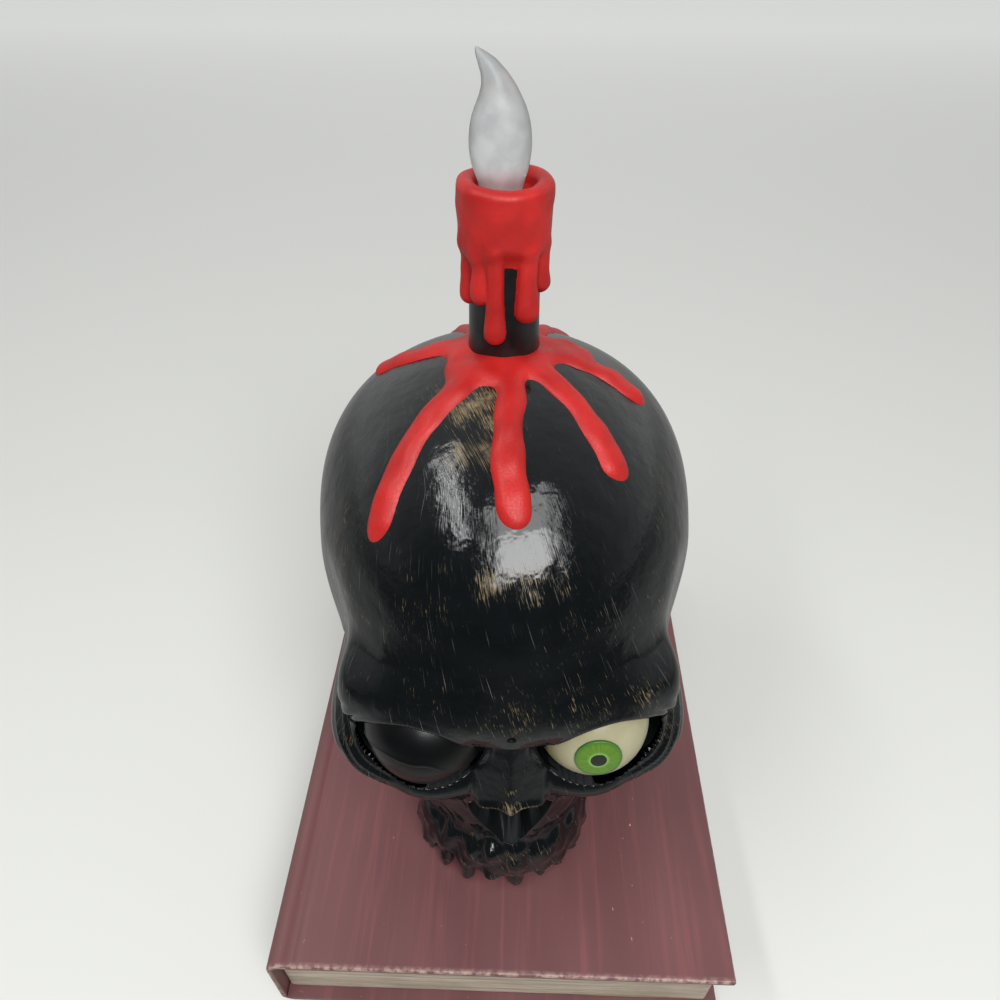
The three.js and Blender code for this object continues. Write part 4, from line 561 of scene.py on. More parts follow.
class Nodes:
    """Shorthands that add shader nodes to a tree."""

    def __init__(self, tree):
        self.tree = tree

    def feed(self, target, value):
        """An input gets a value, a colour written as hex, or the output that feeds it."""
        if isinstance(value, bpy.types.NodeSocket):
            self.tree.links.new(value, target)
        else:
            target.default_value = srgb(value) if isinstance(value, str) else value

    def add(self, kind, inputs=None, **settings):
        """One shader node with its settings and its inputs."""
        made = self.tree.nodes.new("ShaderNode" + kind)
        for key, value in settings.items():
            setattr(made, key, value)
        for key, value in (inputs or {}).items():
            self.feed(made.inputs[key], value)
        return made

    def between(self, value, low, high, to_low=0.0, to_high=1.0):
        """The value's place between low and high, put between the other two."""
        return self.add("MapRange", {"Value": value, "From Min": low, "From Max": high,
                                     "To Min": to_low, "To Max": to_high}).outputs[0]

    def mixed(self, share, a, b):
        """Two colours mixed by share."""
        blend = self.add("Mix", data_type="RGBA")
        for key, value in (("Factor_Float", share), ("A_Color", a), ("B_Color", b)):
            self.feed(next(s for s in blend.inputs if s.identifier == key), value)
        return next(s for s in blend.outputs if s.identifier == "Result_Color")

    def calc(self, operation, a, b):
        return self.add("Math", {0: a, 1: b}, operation=operation).outputs[0]


PER_METRE = (1000, 1000, 1000)  # places come in metres, and pitches are in millimetres


class Finish(Nodes):
    """A new material whose shader has these socket values, and shorthands for what feeds it."""

    def __init__(self, name, **sockets):
        self.material = bpy.data.materials.new(name)
        self.material.use_nodes = True
        super().__init__(self.material.node_tree)
        self.shader = self.tree.nodes["Principled BSDF"]
        self.set(**sockets)

    def set(self, **sockets):
        for key, value in sockets.items():
            self.feed(self.shader.inputs[key.replace("_", " ")], value)

    def place(self):
        return self.add("TexCoord").outputs["Object"]

    def attribute(self, name, output="Fac"):
        """What each point of the mesh carries under this name."""
        return self.add("Attribute", attribute_name=name).outputs[output]

    def noise(self, pitch, detail=2.0, roughness=0.5, scale=PER_METRE, on=None):
        """Noise of this pitch on the object's place or on other coordinates, stretched by scale."""
        placed = self.add("Mapping", {"Vector": self.place() if on is None else on, "Scale": scale})
        return self.add("TexNoise", {"Vector": placed.outputs[0], "Scale": 1 / pitch,
                                     "Detail": detail, "Roughness": roughness}).outputs[0]

    def bump(self, height, strength, depth, **below):
        """Relief of a depth in millimetres, laid over the Normal below."""
        return self.add("Bump", {"Height": height, "Strength": strength, "Distance": depth * MM,
                                 **below}).outputs[0]


RUB_HIDDEN, RUB_OPEN = -0.4, -0.05  # the rub where the brush never reached, and where it could
BRISTLE = 0.34  # pitch of the brush's bristles


def black_gloss_dry_brushed():
    """Moulded styrene sprayed gloss black, dry brushed with gold: thin broken strokes down it."""
    coat = Finish("black_gloss_dry_brushed", IOR=1.5)
    stroke, rub = coat.attribute("stroke", "Vector"), coat.attribute("rub")
    open_skin = coat.between(rub, RUB_HIDDEN, RUB_OPEN)
    # a bristle mark is about 0.4 mm wide and 6 mm long
    bristle = coat.noise(BRISTLE, 2, 0.6, (1, 0.05, 0), stroke)
    short = coat.noise(BRISTLE, 2, 0.6, (1, 0.14, 0), stroke)
    patchy = coat.noise(9, 3)
    weights = (bristle, 0.6), (short, 0.4), (rub, 0.27), (coat.calc("SUBTRACT", patchy, 0.5), 0.3)
    level, *others = [coat.calc("MULTIPLY", value, weight) for value, weight in weights]
    for other in others:
        level = coat.calc("ADD", level, other)
    gold = coat.between(level, 0.665, 0.79)
    # pale hair scratches, 0.2 mm wide and some 15 mm long
    hair = coat.between(coat.noise(0.3, 1, scale=(1, 0.02, 0), on=stroke), 0.7, 0.78)
    scratch = coat.calc("MULTIPLY", hair, open_skin)
    dark = coat.mixed(patchy, "#050708", "#0e1214")
    gilt = coat.mixed(coat.between(coat.noise(2.0, 3), 0.35, 0.65), "#4e4435", "#8e7c58")
    colour = coat.mixed(coat.calc("MULTIPLY", gold, 0.75), dark, gilt)
    colour = coat.mixed(coat.calc("MULTIPLY", scratch, 0.4), colour, "#7c7a74")
    worn = coat.calc("ADD", coat.calc("MULTIPLY", gold, 0.22),
                     coat.between(bristle, 0.3, 0.7, 0.06, 0.17))
    # the brush never reached inside the sockets, which stay dull
    worn = coat.calc("ADD", worn, coat.between(rub, RUB_HIDDEN, RUB_OPEN, 0.45, 0.0))
    brushed = coat.bump(coat.calc("MULTIPLY", bristle, open_skin), 0.16, 0.2)
    lacquer = coat.bump(coat.calc("MULTIPLY", patchy, open_skin), 1.0, 0.5, Normal=brushed)
    coat.set(Base_Color=colour, Roughness=worn, Normal=lacquer,
             Specular_IOR_Level=coat.between(rub, RUB_HIDDEN, RUB_OPEN, 0.12, 0.5))
    return coat.material


def plain(name, colour, roughness, grain=None, depth=0.0, tint=None, pitch=4.0, **sockets):
    """A plain finish: one colour, drifting softly to its tint, with a fine grain in its surface."""
    coat = Finish(name, Base_Color=colour, Roughness=roughness, **sockets)
    if tint:
        drift = coat.between(coat.noise(pitch, 3), 0.35, 0.65)
        coat.set(Base_Color=coat.mixed(drift, colour, tint))
    if grain:
        coat.set(Normal=coat.bump(coat.noise(grain), 1.0, depth))
    return coat.material


def burgundy_book_paint():
    """Moulded book cover painted burgundy by brush: redder strokes along it, pale scuffs."""
    coat = Finish("burgundy_book_paint", Roughness=0.42, IOR=1.48)
    wear = coat.attribute("wear")
    long = coat.noise(3.4, 3, 0.6, (1000, 40, 1000))
    broad = coat.noise(40, scale=(1000, 300, 1000))
    speck = coat.noise(3, 2, 0.7, (1000, 600, 1000))
    chip = coat.calc("MULTIPLY", wear, coat.between(coat.noise(2.2, 3), 0.42, 0.6))
    colour = coat.mixed(coat.between(broad, 0.35, 0.65), "#623d3f", "#6e4748")
    colour = coat.mixed(coat.between(long, 0.52, 0.75, 0, 0.5), colour, "#874f50")
    colour = coat.mixed(coat.between(speck, 0.73, 0.78, 0, 0.7), colour, "#c9a9a2")
    coat.set(Base_Color=coat.mixed(chip, colour, "#cdb9a6"), Normal=coat.bump(long, 0.5, 0.2))
    return coat.material


def page_edge_paint():
    """Moulded page edges washed dark over parchment grey: each line is darker than the leaf."""
    coat = Finish("page_edge_paint", Roughness=0.6, IOR=1.48)
    leaf = coat.noise(0.8, 3, 0.6, (25, 25, 1000))
    colour = coat.mixed(coat.between(leaf, 0.35, 0.65), "#8f8374", "#aea393")
    colour = coat.mixed(coat.calc("MULTIPLY", coat.attribute("groove"), 0.75), colour, "#4f443b")
    blotch = coat.between(coat.noise(18, 3), 0.5, 0.75, 0, 0.4)
    coat.set(Base_Color=coat.mixed(blotch, colour, "#6f6152"))
    return coat.material


def red_wax_satin():
    """Resin drips painted signal red, satin like wax: small pits and a soft broken shine."""
    coat = Finish("red_wax_satin", IOR=1.42)
    grain = coat.noise(0.7, 3)
    colour = coat.mixed(coat.between(coat.noise(14, 3), 0.35, 0.65), "#9e1614", "#b51e1b")
    coat.set(Base_Color=colour, Roughness=coat.between(grain, 0.3, 0.7, 0.36, 0.55),
             Normal=coat.bump(grain, 0.5, 0.2))
    return coat.material


def cream_eye_gloss():
    """Moulded ivory plastic under gloss lacquer. The ivory is darkened for the brow's shade, and a
    painted shade, darker and yellower, falls towards the inner corner.
    """
    coat = Finish("cream_eye_gloss", Roughness=0.3, IOR=1.45)
    # painted shade: this ivory is darker than the plastic, standing for the shade under the brow
    colour = coat.mixed(coat.between(coat.noise(9, 3), 0.3, 0.7), "#a29d81", "#979274")
    # painted shade, dark and yellow, towards the inner corner
    coat.set(Base_Color=coat.mixed(coat.attribute("painted_inner_shade"), colour, "#6a5e38"))
    return coat.material


def green_iris_print():
    """Printed iris under lacquer: bright green with a darker outer ring and fine spokes."""
    coat = Finish("green_iris_print", Roughness=0.28, IOR=1.45)
    ring = coat.attribute("ring")
    rays = coat.noise(0.9, scale=(1, 1, 1), on=coat.attribute("spoke", "Vector"))
    colour = coat.mixed(coat.between(rays, 0.35, 0.65, 0, 0.6), "#4d711f", "#60872e")
    colour = coat.mixed(coat.between(ring, 0.5, 0.36), colour, "#739f50")
    coat.set(Base_Color=coat.mixed(coat.between(ring, 0.82, 1.0), colour, "#3f682c"))
    return coat.material


def frosted_clear_lens():
    """Blow-moulded clear plastic, frosted: it lets light through softly. Where it is seen edge-on
    its colour turns grey, a painted shade.
    """
    coat = Finish("frosted_clear_lens", IOR=1.3, Roughness=0.38, Transmission_Weight=0.72)
    # painted shade: greyer where the lens is seen edge-on
    edge = coat.add("LayerWeight", {"Blend": 0.35}).outputs["Facing"]
    colour = coat.mixed(coat.between(coat.noise(6, 3), 0.4, 0.65), "#cfd3d4", "#e6e9e9")
    coat.set(Base_Color=coat.mixed(coat.between(edge, 0.28, 0.95, 0, 0.8), colour, "#747372"))
    return coat.material


shell_finish = black_gloss_dry_brushed()
cover_finish = burgundy_book_paint()
page_finish = page_edge_paint()
wax_finish = red_wax_satin()
cream_finish = cream_eye_gloss()
iris_finish = green_iris_print()
lens_finish = frosted_clear_lens()
# moulded styrene sprayed satin black, without gold
post_finish = plain("black_satin_spray", "#0c0d0f", 0.3, 0.8, 0.05, tint="#17191b", pitch=8)
# the lid and the pupils, moulded and printed with a smooth gloss
lid_finish = plain("black_satin_abs", "#040506", 0.3, tint="#070809", pitch=12, IOR=1.42)
pupil_finish = plain("dark_grey_print", "#1b1e1a", 0.3, tint="#262a22", pitch=1.2)
# pieces inside and below, with the grain of their moulds
grey_finish = plain("grey_abs_moulded", "#5a5d60", 0.45, 0.3, 0.02)
white_finish = plain("natural_nylon_moulded", "#d9d6cc", 0.4, 0.3, 0.02)
switch_finish = plain("black_abs_matt", "#202124", 0.5, 0.3, 0.02)
foot_finish = plain("black_rubber", "#202124", 0.75, 0.4, 0.05)
steel_finish = plain("zinc_plated_steel", "#b4b7ba", 0.32, 0.5, 0.01, Metallic=1.0)
board_finish = plain("varnished_circuit_board", "#2d5a3a", 0.35, tint="#27502f", pitch=3)
cell_finish = plain("plain_cell_sleeve", "#3a3c40", 0.3, tint="#33353a", pitch=6)


# Skull halves: angles of the rings off the axis, the last ones close together at the seam
SEAM_RINGS = [89.96, 90]
FACE_RINGS = np.radians(np.concatenate([
    np.linspace(0.2, 50, count(215), endpoint=False), np.linspace(50, 89.9, count(70)),
    SEAM_RINGS]))
BACK_RINGS = np.radians(np.concatenate([np.linspace(0.4, 89.9, count(150)), SEAM_RINGS]))
WALL_START_Y = -70.0  # behind the lips of the sockets everywhere
LIP_COVER = 1.0  # how far the wall of a socket stays under its lip


def face_shell():
    """The front half, open behind each eye.

    Quads deep in a socket are left out, and so are those that would reach from its lip to there.
    """
    rings, attributes = half_skull(-1, face_field, FACE_RINGS, count(320))
    x, y, z = np.abs(rings[..., 0]), rings[..., 1], rings[..., 2]
    from_socket = socket(x, z)
    deep = (np.minimum(from_socket, eye_room(x, y, z)) < 1) & (y > POCKET_EDGE)
    deep &= y < POCKET_FLOOR + 2
    quads = grid_faces(*rings.shape[:2], keep=~deep)
    gaps, depths, heights = (v.ravel()[quads] for v in (from_socket, y, z))
    beside = (gaps < 3).any(1) & (depths.min(1) < WALL_START_Y) & (heights.min(1) < EYE_Z + 4)
    quads = quads[~(beside & (np.ptp(depths, axis=1) > SOCKET_STEP))]
    return ring_piece("skull_face", to_world(rings), attributes, end=False, quads=quads)


def back_shell():
    rings, attributes = half_skull(1, skull_field, BACK_RINGS, count(220))
    return ring_piece("skull_back", to_world(rings), attributes, end=False)


def socket_wall(side, word):
    """The wall of a socket: its outline drawn back from just under the lip to its depth.

    Where it would cut the room of the lid, a point is pushed out to the ball that bounds that room.
    """
    edge = closed_spline(SOCKET_EDGE * (SOCKET_HALF + 0.7) + SOCKET_AT, 12)[::-1]
    edge_x, edge_z = edge.T
    start = points_of(edge_x, WALL_START_Y, edge_z)
    ahead = np.broadcast_to([0, -1.0, 0], start.shape)
    out = walk_in(face_field, start, ahead, far=45, rounds=90)
    # where the room of the lid has cut the lip away, the lip's place is read from its neighbours
    found = np.flatnonzero(out > 15)
    out = np.interp(np.arange(len(out)), found, out[found], period=len(out))
    share = np.linspace(0, 1, count(24))[:, None]
    y = (WALL_START_Y - out + LIP_COVER) * (1 - share) + (POCKET_FLOOR - 4) * share
    rows = points_of(edge_x, y, edge_z)
    away = np.linalg.norm(rows - EYE_AT, axis=-1, keepdims=True)
    rows = EYE_AT + (rows - EYE_AT) * np.maximum(1, (LID_ROOM - 0.1) / away)
    rows[..., 0] *= side
    rows = rows[:, ::side]
    attributes = {"stroke": stroke_of(rows, False), "rub": np.full(rows.shape[:2], -1.0)}
    return ring_piece("socket_wall_" + word, to_world(rows), attributes, start=False, end=False)


TOOTH_PLACES = [(-84, 0.9), (-66, 1), (-47, 1.05), (-27, 1.1), (8, 1.3), (27, 0.9), (43, 1),
                (61, 1), (80, 0.9)]  # turn on the arch, and size
TOOTH_RADIUS = 3.1
TOOTH_LENGTH = 17
TOOTH_LEAN = -2.2
TOOTH_ROWS, TOOTH_SPOKES = 16, 20


def teeth():
    """Worn pegs: each a round profile, fat in the middle and blunt at its tip, leaning inwards.

    Each is closed at its tip by a fan, and tapers to a close inside the jaw.
    """
    up = np.linspace(0, 1, TOOTH_ROWS)
    turn = turns(TOOTH_SPOKES)
    blunt = np.clip(up / 0.16, 0, 1)
    girth = np.sqrt(1 - (1 - blunt) ** 2 * 0.96) * (0.82 + 0.2 * np.sin(np.pi * up * 0.85))
    girth = girth * np.sqrt(1 - np.clip((up - 0.6) / 0.4, 0, 0.99) ** 2)
    points, quads, fans = [], [], []
    for place, size in TOOTH_PLACES:
        foot, out = on_arch(np.radians(place))
        lean = TOOTH_LEAN * up[:, None] * out[:, None, None]
        r = TOOTH_RADIUS * size * girth[:, None]
        ring = points_of(foot[0] + lean[0] + r * np.cos(turn),
                         foot[1] + lean[1] + r * np.sin(turn) * 1.1,
                         SEAM_GAP + up[:, None] * TOOTH_LENGTH)
        ring[..., :2] += 0.25 * np.sin(turn * 3 + place)[None, :, None] * girth[:, None, None]
        first = len(points) * (TOOTH_ROWS * TOOTH_SPOKES + 1)
        tip = first + TOOTH_ROWS * TOOTH_SPOKES
        c = np.arange(TOOTH_SPOKES)
        quads.append(first + grid_faces(TOOTH_ROWS, TOOTH_SPOKES))
        fans.append(points_of((c + 1) % TOOTH_SPOKES + first, c + first, tip))
        points.append(np.vstack([ring.reshape(-1, 3), ring[0].mean(0)]))
    points = np.vstack(points)
    attributes = {"stroke": stroke_of(points, False), "rub": 0.2 + 0.25 * lumps(points, 9)}
    return lay_mesh("peg_teeth", to_world(points), [np.vstack(quads), np.vstack(fans)], attributes)


dress(face_shell(), shell_finish, "ornament", "bone_shell", "face_shell")
for side, word in SIDES:
    dress(socket_wall(side, word), shell_finish, "ornament", "bone_shell", "face_shell")
dress(back_shell(), shell_finish, "ornament", "bone_shell", "cranium_rear_shell")
dress(teeth(), shell_finish, "ornament", "bone_shell", "face_shell")


# Eyes
def eye_point(side, radius, off, turn):
    """A point on a ball round the eye's middle, by its angle off straight ahead and its turn."""
    return points_of(side * EYE_X + radius * np.sin(off) * np.cos(turn),
                     EYE_Y - radius * np.cos(off),
                     EYE_Z + radius * np.sin(off) * np.sin(turn))


def eye_coat(side, word):
    """The lacquered front of an eyeball: rings back to 100 degrees, and a step in."""
    off = np.radians(np.linspace(1, 100, count(56)))[:, None]
    turn = turns(count(96))[None]
    outer = eye_point(side, EYE_RADIUS + 0.06, off, turn)
    inner = eye_point(side, EYE_RADIUS - 0.3, off[-1:], turn)
    rings = np.concatenate([outer, inner])
    # painted shade: darker and yellower towards the nose side of each eye
    painted_inner_shade = step(-side * (rings[..., 0] - side * EYE_X), 8, 20) * 0.8
    return ring_piece("eye_coat_" + word, to_world(rings), {"painted_inner_shade": painted_inner_shade}, end=False)


def eye_disc(name, side, proud, radius):
    """A printed lens on the ball, flatter than it: rings from middle to edge, then turned under.

    Its axis is the gaze, which looks up a little; its face falls by a share of the square of the
    distance from that axis.
    """
    share = np.linspace(0.02, 1, count(28))[:, None]
    turn = turns(count(96))[None]
    ahead = EYE_RADIUS + proud - DISC_FALL * (share * radius / IRIS_RADIUS) ** 2
    out = share * radius
    ahead = np.concatenate([ahead, ahead[-1:] - 0.25, ahead[-1:] - 1.3])
    out = np.concatenate([out, out[-1:] + 0.12, out[-1:] + 0.12])
    across, up = out * np.cos(turn), out * np.sin(turn)
    c, s = np.cos(GAZE_UP), np.sin(GAZE_UP)
    rings = points_of(side * EYE_X + across, EYE_Y - ahead * c + up * s,
                      EYE_Z + ahead * s + up * c)
    share = np.concatenate([share, np.ones((2, 1))]) + 0 * turn
    spoke = points_of(np.cos(turn), np.sin(turn), 0.12 * share) * 9
    return ring_piece(name, to_world(rings), {"ring": share, "spoke": spoke}, end=False)


for side, word in SIDES:
    body = word + "_eye"
    dress(eye_coat(side, word), cream_finish, body, "eye_white")
    dress(eye_disc("printed_iris_" + word, side, 0.12, IRIS_RADIUS), iris_finish, body,
          "eye_green", "iris_" + word)
    dress(eye_disc("printed_pupil_" + word, side, 0.18, PUPIL_RADIUS), pupil_finish, body,
          "eye_dark", "pupil_" + word)


def lid_dome():
    """The lid: a part of a ball between two planes through its axle, walled, its lips rounded.

    One parameter goes up over the ball, round the upper lip, back down inside and round the lower
    lip; the other goes along the axle from ear to ear. A rolled line crosses the front, and below
    it the skin steps back a little.
    """
    steps = count(150)
    swing = np.linspace(LID_LOW, LID_HIGH, steps)
    half_wall = LID_WALL / 2
    middle = LID_RADIUS - half_wall
    bend = np.linspace(0, np.pi, 9)[1:-1]
    ear = np.radians(np.linspace(-74, 74, count(120)))[:, None]
    degrees = np.degrees(ear)
    roll = np.radians(14 - 22 * step(degrees, 0, 35) + 5 * step(-degrees, 5, 40))
    below = (roll - swing) * LID_RADIUS
    outer = LID_RADIUS - 0.75 * step(below, 0, 1.2) + 0.12 * bell(below, -0.6, 0.8)
    round_lip = np.sin(bend) * half_wall / middle, np.cos(bend) * half_wall
    along = [
        (swing, outer),
        (LID_HIGH + round_lip[0], middle + round_lip[1]),
        (swing[::-1], np.full(steps, LID_RADIUS - LID_WALL)),
        (LID_LOW - round_lip[0], middle - round_lip[1]),
    ]
    angle = np.concatenate([a for a, _ in along])[None]
    radius = np.concatenate([r + 0 * ear for _, r in along], 1)
    flat = radius * np.cos(ear)
    rows = points_of(-EYE_X + radius * np.sin(ear), EYE_Y - flat * np.cos(angle),
                     EYE_Z + flat * np.sin(angle))
    columns = angle.size
    faces = [grid_faces(len(ear), columns)]
    i = np.arange(steps - 1)
    other = 2 * steps + len(bend) - 1 - i
    for row in (0, len(ear) - 1):
        quad = row * columns + points_of(i, i + 1, other - 1, other)
        faces.append(quad if row else quad[:, ::-1])
    return lay_mesh("lid_dome", to_world(rows.reshape(-1, 3)), faces)


dress(lid_dome(), lid_finish, "lid", "bone_shell", "eyelid")


# Candle
def post_radius(z):
    """The post's radius above the crown, where it tapers slowly to its top."""
    return POST_RADIUS - POST_TAPER * (z - POST_SKIN) / (POST_TOP - POST_SKIN)


def candle_post():
    """A turned post: a thin stem in the skull, a flare where it meets the wax, and a flat top."""
    foot = node_box("candle_post")[0][2] - BOOK_TOP
    stem = 5
    z = np.concatenate([[POST_SKIN - 3], np.linspace(POST_SKIN, POST_TOP, count(70))])
    r = post_radius(z) + 1.6 * np.exp(-(z - POST_SKIN) / 4.5)
    z = np.concatenate([[foot, foot, POST_SKIN - 3.01], z])[:, None]
    r = np.concatenate([[stem - 1e-3, stem, stem], r])[:, None]
    turn = turns(count(96))
    uneven = 1 + 0.006 * np.sin(3 * turn + z * 0.09) + 0.004 * np.sin(7 * turn)
    return ring_piece("turned_post", to_world(circle(r * uneven, turn, z)))


dress(candle_post(), post_finish, "ornament", "candle_body", "candle_post")

# Runs of the cup: turn, height of the low end, and radius
CUP_DRIPS = [
    (-106, 199, 3.45), (-131, 212, 3.2), (-55.5, 206, 4.0), (-168, 209.5, 3), (-19, 214, 3.4),
    (96, 205, 3.3), (48, 213, 3.4), (138, 214, 3.2),
]
WAX_LOW = 196  # below all the runs
COLLAR_FULL = 243  # below this the collar narrows
CUP_MELT = 3  # power of the mean that lets the wax flow together
LIP_SPREAD = 1.15  # how much wider the lip is than round
CUP_WELL = ((1.5, 0.2), (3.2, 0.5), (1.7, 1.6))  # below the lip's side, and drawn in


def wax_cup():
    """The cup and its runs as one skin over the post: how thick the wax is at each turn and height.

    The collar's thickness climbs over a few millimetres at its lower edge. Each run is a round bar
    down the post with a fatter end. Thicknesses are joined by a power mean, so the wax flows
    together; where there is none the skin dips below the post. Above, the skin rolls over the lip
    into the well.
    """
    turn = turns(count(260))
    side_top = CUP_TOP - CUP_LIP / 2
    z = np.linspace(WAX_LOW, side_top, count(190))[:, None]
    post = post_radius(z)
    wave = -1.6 * np.sin(2 * turn + 1) - 1.1 * np.sin(5 * turn)
    collar = (CUP_RADIUS - post) * step(z, CUP_BOTTOM - 4 + wave, CUP_BOTTOM + 4 + wave)
    collar = collar * (1 - 0.12 * step(COLLAR_FULL - z, 0, 12))
    thick = np.clip(collar, 0, None) ** CUP_MELT
    for place, low, radius in CUP_DRIPS:
        across = (turn - np.radians(place) + np.pi) % (2 * np.pi) - np.pi
        across = across * (post + 1)
        end = low + radius
        below = np.clip(end - z, 0, None)
        fat = radius * (1 + 0.16 * bell(z, end + 1, 4) - 0.12 * step(z, end + 6, end + 16))
        gap = np.sqrt(across ** 2 + below ** 2) / fat
        run = 0.92 * fat * np.sqrt(np.clip(1 - gap ** 2, 0, None)) * step(CUP_BOTTOM + 10 - z, 0, 6)
        thick = thick + run ** CUP_MELT
    thick = thick ** (1 / CUP_MELT)
    radius = np.where(thick > 0.02, post + thick, post - 0.5)
    radius = radius + np.where(thick > 1, 0.22 * lumps(circle(radius, turn, z), 9), 0)
    rings = list(circle(radius, turn, z))
    edge = radius[-1]
    for bend in np.linspace(0, np.pi, 15)[1:]:
        r = edge - CUP_LIP / 2 * (1 - np.cos(bend)) * LIP_SPREAD
        h = side_top + CUP_LIP / 2 * np.sin(bend) * (1 + 0.12 * np.sin(2 * turn + 0.6))
        rings.append(circle(r, turn, h))
    for depth, narrow in CUP_WELL:
        rings.append(circle(edge - CUP_LIP * LIP_SPREAD - narrow, turn, side_top - depth))
    return ring_piece("wax_cup_and_runs", to_world(np.stack(rings)), start=False)


dress(wax_cup(), wax_finish, "ornament", "red_wax", "wax_cup")

SPLASH_RADIUS = 19.5
# Fingers of wax: turn, where the round end's middle lies, half widths at root and end
SPLASH_RUNS = [
    (-126.5, 71, 5.6, 5.1), (-89, 66, 4.6, 5.7), (-53, 57.5, 5.0, 5.4), (-7, 47, 7.0, 5.0),
    (162, 46.5, 6.5, 4.8), (60, 51, 5.2, 4.4), (112, 59, 5.2, 4.4), (-108, 16, 8.5, 8.5),
    (-140, 17, 8.5, 8.5), (14, 26, 8.5, 7.0),
]
SPLASH_EDGE = 5.4  # how far in from the outline the wax is rounded
SPLASH_RISE, SPLASH_SUNK = 5.0, 2.9  # height of that round, and how much of it lies below the bone
SPLASH_THICKNESS = 3.4


def wax_splash():
    """The wax on the crown: a plan outline of fingers melted into a disc, laid on the skull.

    At each plan point the wax is as thick as a rounded edge allows for its distance from the
    outline, and it stands out along the skull's own normal. At the outline it dips below the bone.
    """
    pitch = 0.5 / FINE
    x, y = np.meshgrid(np.arange(-54, 56, pitch), np.arange(-75, 66, pitch), indexing="ij")
    flat = points_of(x, y, 0.0)
    from_axis = np.hypot(x, y)
    outline = from_axis - SPLASH_RADIUS
    for turn, reach, root, tip in SPLASH_RUNS:
        a = np.radians(turn)
        out = np.array([np.cos(a), np.sin(a), 0])
        aside = np.array([-out[1], out[0], 0])
        wander = flat - aside * np.sin(flat @ out / 9 + turn)[..., None]
        neck = 0.5 * bell(flat @ out, reach * 0.66, 7)
        finger = capsule(wander, out * (SPLASH_RADIUS - 6), out * reach, root, tip) + neck
        outline = melt(outline, finger, 5)
    outline = outline + 0.35 * lumps(flat, 14)
    up = np.broadcast_to([0, 0, 1.0], flat.shape)
    height = walk_in(skull_field, flat, up, far=SKULL_HEIGHT + 4, rounds=70)
    base = flat + up * height[..., None]
    slope = np.stack([skull_field(base + e) - skull_field(base - e) for e in np.eye(3) * 0.5], -1)
    slope /= np.linalg.norm(slope, axis=-1, keepdims=True)
    inside = np.clip((1 - outline) / SPLASH_EDGE, 0, 1)
    thick = SPLASH_RISE * np.sqrt(1 - (1 - inside) ** 2) * (1 + 0.08 * lumps(base, 12))
    top = base + slope * np.minimum(thick - SPLASH_SUNK, SPLASH_THICKNESS)[..., None]
    wanted = (outline < 1.2) & (from_axis > POST_RADIUS - 2.5)
    # in this order of their corners the quads look up
    quads = grid_faces(*x.shape, around=False)[:, [0, 3, 2, 1]]
    quads = quads[wanted.ravel()[quads].all(1)]
    used, renamed = np.unique(quads, return_inverse=True)
    return lay_mesh("wax_on_crown", to_world(top.reshape(-1, 3)[used]), [renamed.reshape(-1, 4)])


dress(wax_splash(), wax_finish, "ornament", "red_wax", "wax_splash")

# The flame's outline: height as a share, how far its middle leans to the left, and radius
FLAME_OUTLINE = [
    (0, 1.0, 5.9), (0.05, 1.1, 6.4), (0.118, 1.14, 6.98), (0.218, 1.28, 8.48), (0.27, 1.36, 8.83),
    (0.346, 1.39, 9.35), (0.419, 1.38, 9.35), (0.493, 1.39, 9.08), (0.564, 1.39, 8.48),
    (0.632, 1.35, 7.51), (0.701, 1.43, 6.14), (0.77, 1.81, 4.95), (0.836, 2.86, 3.99),
    (0.902, 4.53, 3.11), (0.934, 5.46, 2.6), (0.966, 6.71, 1.7), (0.99, 7.7, 0.7), (1, 8.0, 0.12),
]


def flame_bulb():
    """The bulb: round all the way up, its radius and middle read from the table and smoothed."""
    up, lean, girth = np.array(FLAME_OUTLINE).T
    t = 1 - (1 - np.linspace(0, 1, count(120))) ** 1.4
    radius, middle = np.interp(t, up, girth), np.interp(t, up, lean)
    for line in (radius, middle):
        for _ in range(5):
            line[1:-1] = (line[:-2] + 2 * line[1:-1] + line[2:]) / 4
    z = FLAME_LOW + (FLAME_TOP - FLAME_LOW) * t
    rings = circle(radius[:, None], turns(count(80)), z[:, None])
    rings[..., 0] -= middle[:, None]
    return ring_piece("flame_bulb", to_world(rings))


dress(flame_bulb(), lens_finish, "ornament", "flame_lens", "flame")


